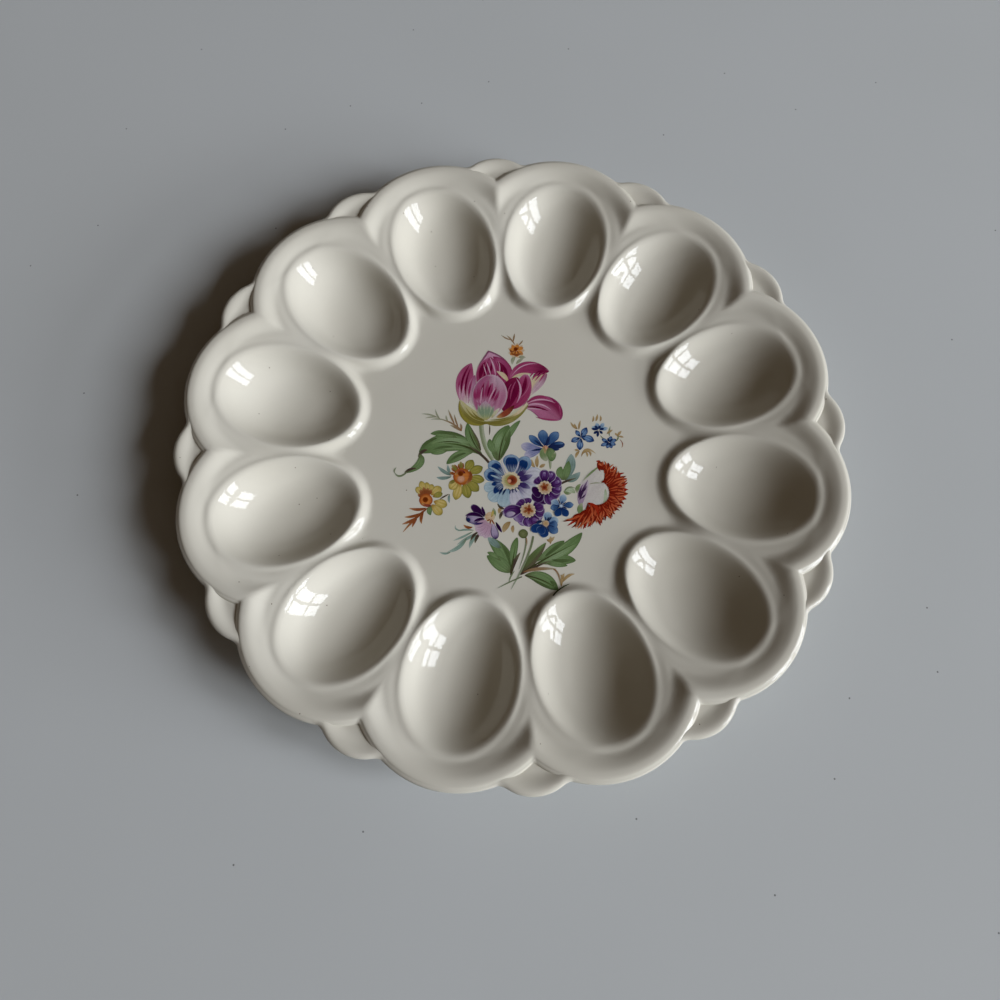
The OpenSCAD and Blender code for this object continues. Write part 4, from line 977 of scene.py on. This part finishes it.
makePrint("print_forget_me_nots", [
    ("tan", (26, 5.6), (24.4, 6.6), (23.6, 8.8), 0.9),
    ("tan", (26.2, 5.6), (25, 7), (25.2, 8), 0.8),
    ("tan", (26.6, 5.4), (26.8, 7), (27.6, 9.2), 0.9),
    ("tan", (32.2, 8.4), (33, 9.2), (32.8, 11), 0.8),
    ("tan", (33.6, 8.6), (34.2, 9.6), (34.6, 11.6), 0.9),
    ("tan", (35.2, 8.4), (36, 9.4), (35.6, 11), 0.8),
    ("thin", (38.4, 2), (38.2, 4), (39.2, 6.2), 0.7),
    ("tan", (37.4, 3), (38.6, 4), (40, 4.6), 0.9),
    ("thin", (40.6, -0.4), (42, 0.8), (42, 2.6), 0.6),
    ("tan", (41.4, 1.6), (42.2, 3), (43.4, 4), 1),
    ("tan", (41.2, 2), (41.2, 2.8), (40.6, 3.2), 0.8),
    ("tan", (42, 1.8), (43, 1.6), (44, 1.2), 0.8),
    ("rust", (42.2, 0.6), (44, -1.4), (42.6, -3.2), 0.4),
    ("tan", (26.2, -3.6), (24.8, -4.4), (24.4, -6.4), 1.1),
    ("tan", (26, -3.4), (25, -3), (24.2, -3), 0.9),
    ("tan", (26.6, -6), (28.4, -0.8), (32.4, -5), 1),
    ("tan", (27.4, -4.8), (29, -2.6), (31, -5), 0.9),
    ("tan", (28.4, -4), (29.4, -5), (28.8, -6.2), 0.8),
    ("tan", (29.6, -4), (30.6, -4.8), (30.2, -6), 0.7),
    ("thin", (34.8, 2.6), (35.6, 1), (37.2, 0.4), 0.5),
    ("inkPetal", (27.2, 2), (25, 1.4), (23.2, 0.4), 2.3, 0.6, 0.85),
    ("inkPetal", (27.2, 2), (28.4, 3.6), (29.8, 6.2), 2.6, 0.6, 0.85),
    ("inkPetal", (27.2, 2), (29.6, 2), (32.2, 0.2), 3, 0.62, 0.8),
    ("inkPetal", (27.2, 1.8), (26.6, -0.4), (26.2, -3.2), 2.7, 0.6, 0.75),
    ("inkPetal", (27.2, 2), (26.2, 3.6), (25.4, 5.2), 1.8, 0.6, 0.85),
    *ring("night", (27.3, 2), 0.3, [
        (20, 2.2), (75, 2.2), (130, 2), (200, 2.2), (265, 2.4), (320, 2)], 0.6),
    *ring("skyBlue", middleFlower, 0.4, [(50, 3.8), (10, 3.8), (100, 3.2), (150, 3)], 1.7, 0.6, 0.8),
    *ring("night", middleFlower, 0.2, [
        (15, 2.3), (70, 2), (125, 2.4), (165, 2.9), (215, 2.6), (255, 3), (310, 2.2)], 1.1, 0.6, 0.8),
    *ring("inkPetal", (38, -0.6), 0.2, [
        (20, 3.2), (65, 2.8), (150, 3.2), (200, 3.6), (245, 2.6), (290, 2.6), (335, 2.8)], 1.6, 0.6, 0.8),
    *ring("night", (38, -0.5), 0.1, [(40, 2), (100, 1.8), (170, 2), (230, 1.8), (290, 2)], 0.9),
])
print("small flowers printed")


# The carnation's fringe: fine curled strokes from the cup's side out to a ragged edge. Each round of them
# has a paint, a number of strokes, a share of the full reach and a width.
carnation = {
    "middle": (31.2, -20.8), "sweepFrom": 80, "sweepTo": -126,
    "inner": 4.8, "innerTopFrom": 50, "innerTop": 0.27, "innerEndFrom": -115, "innerEnd": 0.5,
    "outer": 12.2, "bulge": 1.2, "bulgeAt": 45, "outerEndFrom": -80, "outerEnd": 0.08,
    "even": 0.95, "ragged": 0.07, "raggedTurn": 2.4, "curl": 6.0, "curlTurn": 1.7, "bow": 1.8,
    "trailFrom": -70, "trail": 0.2,
    "rounds": (("scarletDark", 34, 0.86, 1.9), ("scarlet", 46, 1.0, 1.0), ("coral", 38, 0.93, 0.7),
               ("scarletDark", 44, 1.0, 0.7), ("coral", 30, 1.0, 0.6), ("scarletDark", 24, 0.78, 0.6)),
}


def fringe():
    # both edges are circles round the middle: the inner one widens towards both ends of the sweep, the
    # outer one bulges at the top right, and the strokes trail off at the bottom
    strokes = []
    look = carnation
    middle = np.array(look["middle"])
    for paint, count, share, width in look["rounds"]:
        for i, bearing in enumerate(np.linspace(look["sweepFrom"], look["sweepTo"], count)):
            inner = look["inner"] + look["innerTop"] * max(bearing - look["innerTopFrom"], 0)
            inner += look["innerEnd"] * max(look["innerEndFrom"] - bearing, 0)
            outer = look["outer"] + look["bulge"] * math.cos(math.radians(2 * (bearing - look["bulgeAt"])))
            outer += look["outerEnd"] * max(look["outerEndFrom"] - bearing, 0)
            outer *= share * (look["even"] + look["ragged"] * math.sin(look["raggedTurn"] * i * i + count))
            curl = math.sin(look["curlTurn"] * i + count)
            trail = look["trail"] * max(look["trailFrom"] - bearing, 0)
            start, end = math.radians(bearing), math.radians(bearing + look["curl"] * curl - trail)
            foot = middle + inner * np.array([math.cos(start), math.sin(start)])
            tip = middle + outer * np.array([math.cos(end), math.sin(end)])
            bow = (foot + tip) / 2 + look["bow"] * curl * np.array([math.sin(start), -math.cos(start)])
            strokes.append((paint, foot, bow, tip, width, 0.6, 0.6))
    return strokes


makePrint("print_carnation", [
    ("cup", (25, -26.6), (27, -18), (34.6, -10.4), 7, 0.5, 0.6),
    ("cup", (26.5, -27), (30, -24), (35.2, -17.4), 8.4, 0.5, 0.6),
    ("lilacCup", (24.6, -26.2), (24.8, -20), (28.6, -16.2), 3.4, 0.5, 0.7),
    ("softGreen", (24.6, -29.6), (23.6, -27), (25.4, -24.6), 2.2),
    ("strand", (33.4, -25.4), (35, -22.6), (34.6, -19.4), 1.3),
    ("softGreen", (34, -9.8), (29.4, -12.6), (26, -16.2), 0.8),
    ("softGreen", (25.4, -17), (23.4, -18.6), (23.8, -20.6), 1.6),
    ("purple", (24.4, -23.6), (25.4, -20.6), (28.4, -15.4), 1),
    ("purple", (24.2, -22.8), (24.4, -20.6), (26.2, -17.2), 0.9),
    ("purple", (25.4, -20.6), (27, -19.6), (27.8, -17.6), 0.6),
    ("purple", (24.6, -23), (26.2, -22.4), (27.2, -20.8), 0.6),
    ("fernGrey", (28.8, -17.2), (31, -16.6), (34, -17.2), 0.5),
    ("scarlet", (28.6, -26), (24, -30.6), (18.9, -33.3), 1.1),
    ("scarletDark", (28.6, -27), (25, -31.6), (20.4, -34.2), 1.1),
    ("coral", (28.4, -27.4), (25.6, -32), (22.6, -34.8), 0.9),
    ("scarletDark", (27.6, -27), (24.4, -29.6), (20.6, -31.6), 0.9),
    ("scarlet", (29, -27), (26.6, -31), (24.8, -35), 1.1),
    *fringe(),
    ("scarlet", (27.4, -24.8), (30, -25.4), (32.4, -28.6), 1.2),
    ("scarletDark", (27.6, -25), (27.4, -28), (25.4, -30.6), 1.2),
    ("coral", (28, -25.4), (29.6, -27.4), (28.4, -31), 0.8),
    ("scarlet", (28.4, -25.2), (31.4, -27), (31, -31), 0.9),
    ("scarletDark", (35.8, -15.4), (34.6, -16.6), (33.4, -16.9), 0.9),
])
anemone = (-1.3, -14.3)
makePrint("print_anemone", [
    ("paleBlue", (-5, -15.6), (-9, -16.6), (-11.8, -16.6), 4.2, 0.68, 0.5),
    ("paleBlue", (-4.2, -16.6), (-7.6, -19.6), (-9.8, -21.8), 5, 0.68, 0.5),
    ("paleBlue", (-2.5, -17), (-4.2, -21), (-4.8, -24.6), 5.6, 0.65, 0.5),
    ("lilacWhite", (-1, -17), (0.4, -21), (0.8, -24.4), 5.6, 0.65, 0.5),
    ("whitePetal", (1.2, -16), (5, -18.8), (8, -21), 6.8, 0.62, 0.5),
    ("whitePetal", (1.6, -14), (6.5, -12.6), (11, -13), 7.4, 0.62, 0.5),
    ("blueRim", (-4, -12), (-7.2, -8.8), (-8.6, -5.8), 5, 0.62, 0.55),
    ("blueRim", (-4.6, -13.8), (-8.2, -11.6), (-11.4, -10.4), 5.4, 0.6, 0.55),
    ("blueRim", (1.2, -11.8), (4, -8.4), (5.8, -4.8), 5.6, 0.62, 0.55),
    ("blueRim", (-0.8, -11), (-0.8, -7), (-0.4, -3.6), 6.4, 0.64, 0.55),
    ("deepBlue", (-3.4, -12.6), (-6.4, -9.6), (-7.8, -6.8), 4, 0.62, 0.6),
    ("deepBlue", (-3.6, -14.4), (-7.6, -12.4), (-10.4, -11.2), 4.2, 0.62, 0.6),
    ("deepBlue", (-4.4, -15.4), (-7.4, -14.6), (-8.8, -15.8), 2, 0.55, 0.7),
    ("deepBlue", (-4, -16), (-7.2, -16.6), (-7.8, -19.4), 2.8, 0.5, 0.7),
    ("deepBlue", (0.6, -12.6), (3.4, -9), (4.8, -6), 4.3, 0.64, 0.55),
    ("deepBlue", (-0.9, -12), (-0.8, -8), (-0.4, -4.4), 5.3, 0.66, 0.5),
    ("paleBlue", (-4.4, -11.8), (-6.8, -9.6), (-9.6, -8.2), 0.9),
    ("lilacWhite", (-3, -11.4), (-4.2, -8.4), (-4.4, -6), 0.6),
    ("lilacWhite", (0.6, -11.2), (1.8, -8.6), (2.4, -6.4), 0.5),
    ("paleBlue", (-5.2, -13.4), (-7.4, -12.2), (-9, -11.6), 0.7),
    ("shade", (1.4, -14.4), (3.8, -13.6), (7.2, -12.4), 2.4),
    ("shade", (1.4, -15.6), (3.6, -16.2), (6, -17.8), 2.2),
    ("shade", (1.2, -12.6), (3, -11.6), (5, -10.4), 2),
    ("night", (-2.6, -17.4), (-1.4, -18), (0.8, -17.2), 1.2),
    ("night", (-4.4, -17), (-5.4, -18), (-6.2, -19.6), 0.9),
    ("night", (-3.2, -17.4), (-4.4, -18.6), (-4.8, -20), 0.7),
    *ring("night", anemone, 3.4, [(-68, 5.2), (-84, 5), (-98, 5.4), (-52, 4.8)], 0.5),
    *ring("cream", anemone, 1.6, [(24 * i, 3.7) for i in range(15)], 1.4),
    *dot("anemoneHeart", (-1.5, -14.2), 3.1),
    *dot("redHeart", (-0.8, -14.1), 2),
    *dot("blushSpot", (-1.9, -14.4), 0.8),
])
lowerPrimrose = (4.6, -26.4)
makePrint("print_primrose_lower", [
    *ring("violetPale", lowerPrimrose, 1.8, [(-118, 6.6), (-150, 6.6), (-40, 6.2)], 4.8),
    *ring("violet", lowerPrimrose, 1.8, [
        (-92, 6.6), (-66, 6.4), (-10, 6.4), (20, 6.2), (100, 5), (138, 5.4)], 5),
    ("violet", (3, -26.4), (-1, -25.4), (-4.9, -28), 5.4, 0.62, 0.55),
    ("lilacRim", (-0.4, -27.4), (-2.4, -27.4), (-4.4, -28.2), 2.6),
    ("violetPale", (3.4, -29), (4, -31), (4.6, -33), 1.2),
    ("violetPale", (5.6, -29.4), (6.6, -30.4), (8.4, -30.6), 1.4),
    *ring("cream", (4.5, -26.4), 1.4, [(28 * i, 3) for i in range(13)], 1.2),
    *dot("creamHeart", (4.5, -26.4), 2.5),
    *ring("rust", (4.8, -26.2), 0.1, [(80, 2.2), (150, 2), (205, 2.4), (265, 2), (330, 2)], 1),
    *dot("redHeart", (4.9, -26.2), 1),
])
upperPrimrose = (11.4, -17.6)
makePrint("print_primrose_upper", [
    *ring("violetDark", upperPrimrose, 1.6, [(-100, 7), (-128, 7), (-152, 5.2)], 5),
    *ring("violet", upperPrimrose, 1.6, [(-68, 7.6), (-36, 6.8), (-8, 6.8), (22, 7.2), (122, 5)], 5.2),
    *ring("violet", upperPrimrose, 1.6, [(58, 7.4), (86, 7.2)], 4.2),
    *ring("violetPale", upperPrimrose, 4, [(86, 6.2), (58, 6.6), (20, 6.4), (-10, 6.2), (-66, 6.8)], 1.4),
    *ring("cream", (11.6, -17.8), 1.4, [(30 * i, 2.8) for i in range(12)], 1.2),
    *dot("creamHeart", (11.6, -17.8), 2.3),
    *ring("rust", (11.5, -17.6), 0.1, [(40, 2), (100, 2), (165, 1.9), (230, 1.8), (300, 1.8)], 1),
    *dot("redHeart", (11.4, -17.7), 1.1),
])
rightFloret = (17.2, -25.4)
makePrint("print_floret_right", [
    *ring("skyBlue", rightFloret, 0.5, [(148, 4.2), (72, 4.8)], 3, 0.62, 0.75),
    *ring("midBlue", rightFloret, 0.5, [(4, 4.8), (190, 4.2)], 2.6, 0.62, 0.75),
    *ring("cobalt", rightFloret, 0.5, [(-64, 4.8), (-118, 4.6)], 2.9, 0.62, 0.7),
    *ring("night", rightFloret, 0.4, [
        (36, 2.4), (108, 2.8), (170, 2.4), (-30, 2.6), (-90, 2.4), (72, 2.2)], 0.4),
    *dot("paleSpot", rightFloret, 0.7),
])
lowFloret = (10.8, -32.2)
makePrint("print_floret_low", [
    *ring("skyBlue", lowFloret, 0.8, [(72, 5), (18, 5.2)], 3.4, 0.62, 0.65),
    *ring("midBlue", lowFloret, 0.8, [(-40, 5.6), (-8, 4.6)], 3.4, 0.62, 0.65),
    *ring("cobalt", lowFloret, 0.8, [(-104, 5.4), (-158, 6.2), (-130, 4.6)], 3.6, 0.62, 0.65),
    *ring("night", lowFloret, 1, [
        (46, 3.6), (60, 3), (6, 3.4), (-22, 3.6), (-72, 3.4), (-146, 3.6), (86, 3)], 0.4),
    ("night", (9.6, -31), (8.4, -31), (7.4, -32), 1.2),
    *dot("creamHeart", (10.9, -32), 1.2),
])
print("posy printed")

# A painted table top: a pale, dull grey. The eye gets faint clouds and a few small dark specks.
table = {
    "colour": "#c9cccc", "colourDeep": "#c3c6c5", "speck": "#7d7f7e", "roughness": 0.8, "shine": 0.1,
    "cloudSize": 120.0, "speckSpacing": 36.0, "speckSize": 0.7, "speckShare": 0.35, "across": 3000.0,
}
# The light: one tall window on the right with bars between its panes, a weak glow from above, and a dim
# warm room. A column or row of panes is given by its start from the window's middle and its size.
window = {
    "azimuth": -22.0, "elevation": 24.0, "distance": 6000.0, "power": 520.0, "colour": "#f2f7ff",
    "columns": ((-1515, 1300), (120, 1310)), "rows": ((-1845, 1265), (-245, 2100)),
}
glow = {
    "azimuth": -20.0, "elevation": 60.0, "distance": 1500.0, "power": 1.5, "colour": "#f2e9da",
    "across": 2000.0, "height": 1300.0,
}
room = {"colour": "#b58447", "strength": 0.06}


def makeTable():
    material, tree, shader = newMaterial("painted table top")
    place = addNode(tree, "ShaderNodeTexCoord").outputs["Object"]
    cloud = addNode(tree, "ShaderNodeTexNoise", {"Vector": place, "Scale": 1 / (table["cloudSize"] * mm)})
    tint = addNode(tree, "ShaderNodeMix", data_type="RGBA", inputs={
        0: cloud.outputs["Fac"], 6: linear(table["colour"]), 7: linear(table["colourDeep"])})
    colour = addNode(tree, "ShaderNodeMix", data_type="RGBA", inputs={
        0: specks(tree, place, table, "2D"), 6: tint.outputs[2], 7: linear(table["speck"])})
    tree.links.new(colour.outputs[2], shader.inputs["Base Color"])
    shader.inputs["Roughness"].default_value = table["roughness"]
    shader.inputs["Specular IOR Level"].default_value = table["shine"]
    half = table["across"] * mm / 2
    corners = [(-half, -half, 0), (half, -half, 0), (half, half, 0), (-half, half, 0)]
    mesh = bpy.data.meshes.new("tableTop")
    mesh.from_pydata(corners, [], [(0, 1, 2, 3)])
    mesh.materials.append(material)
    top = bpy.data.objects.new("tableTop", mesh)
    bpy.context.collection.objects.link(top)


def axes(look):
    # right, up and back of a lamp or camera, from its bearing and its height above level in degrees
    turn, tilt = math.radians(look["azimuth"]), math.radians(look["elevation"])
    back = Vector((math.cos(tilt) * math.cos(turn), math.cos(tilt) * math.sin(turn), math.sin(tilt)))
    right = Vector((-math.sin(turn), math.cos(turn), 0))
    return right, back.cross(right), back


def addLamp(name, source, aside, above, width, height, power):
    # a rectangle of light that faces the platter, moved from its source's middle
    right, up, back = axes(source)
    lamp = bpy.data.lights.new(name, "AREA")
    lamp.shape = "RECTANGLE"
    lamp.size, lamp.size_y = width * mm, height * mm
    lamp.energy = power
    lamp.color = linear(source["colour"])[:3]
    holder = bpy.data.objects.new(name, lamp)
    spot = (back * source["distance"] + right * aside + up * above) * mm
    holder.matrix_world = Matrix.Translation(spot) @ Matrix((right, up, back)).transposed().to_4x4()
    bpy.context.collection.objects.link(holder)


def makeLight():
    # the panes share the window's power by their size
    columns, rows = window["columns"], window["rows"]
    glass = sum(width for _, width in columns) * sum(height for _, height in rows)
    for left, width in columns:
        for low, height in rows:
            power = window["power"] * (width * height / glass)
            addLamp("windowPane", window, left + width / 2, low + height / 2, width, height, power)
    addLamp("wallGlow", glow, 0, 0, glow["across"], glow["height"], glow["power"])
    world = bpy.data.worlds.new("room")
    world.use_nodes = True
    tree = world.node_tree
    tree.nodes.clear()
    air = addNode(tree, "ShaderNodeBackground", {
        "Color": linear(room["colour"]), "Strength": room["strength"]})
    addNode(tree, "ShaderNodeOutputWorld", {"Surface": air.outputs["Background"]})
    bpy.context.scene.world = world


# The camera stands over the near half of the platter and looks steeply down
view = {
    "aim": (-6.2, -25.1, 23.0), "distance": 268.75, "azimuth": -95.01, "elevation": 73.52, "roll": 1.91,
    "focalShare": 0.735, "sensor": 36.0, "clipFrom": 10.0,
}


def makeCamera():
    right, up, back = axes(view)
    roll = math.radians(view["roll"])
    side = right * math.cos(roll) + up * math.sin(roll)
    head = up * math.cos(roll) - right * math.sin(roll)
    lens = bpy.data.cameras.new("overTable")
    lens.sensor_width = view["sensor"]
    lens.lens = view["sensor"] * view["focalShare"]
    lens.clip_start = view["clipFrom"] * mm
    camera = bpy.data.objects.new("overTable", lens)
    spot = (Vector(view["aim"]) + back * view["distance"]) * mm
    camera.matrix_world = Matrix.Translation(spot) @ Matrix((side, head, back)).transposed().to_4x4()
    bpy.context.collection.objects.link(camera)
    bpy.context.scene.camera = camera


makeTable()
makeLight()
makeCamera()
bpy.context.scene.view_settings.view_transform = "Standard"
print("table, light and camera set")
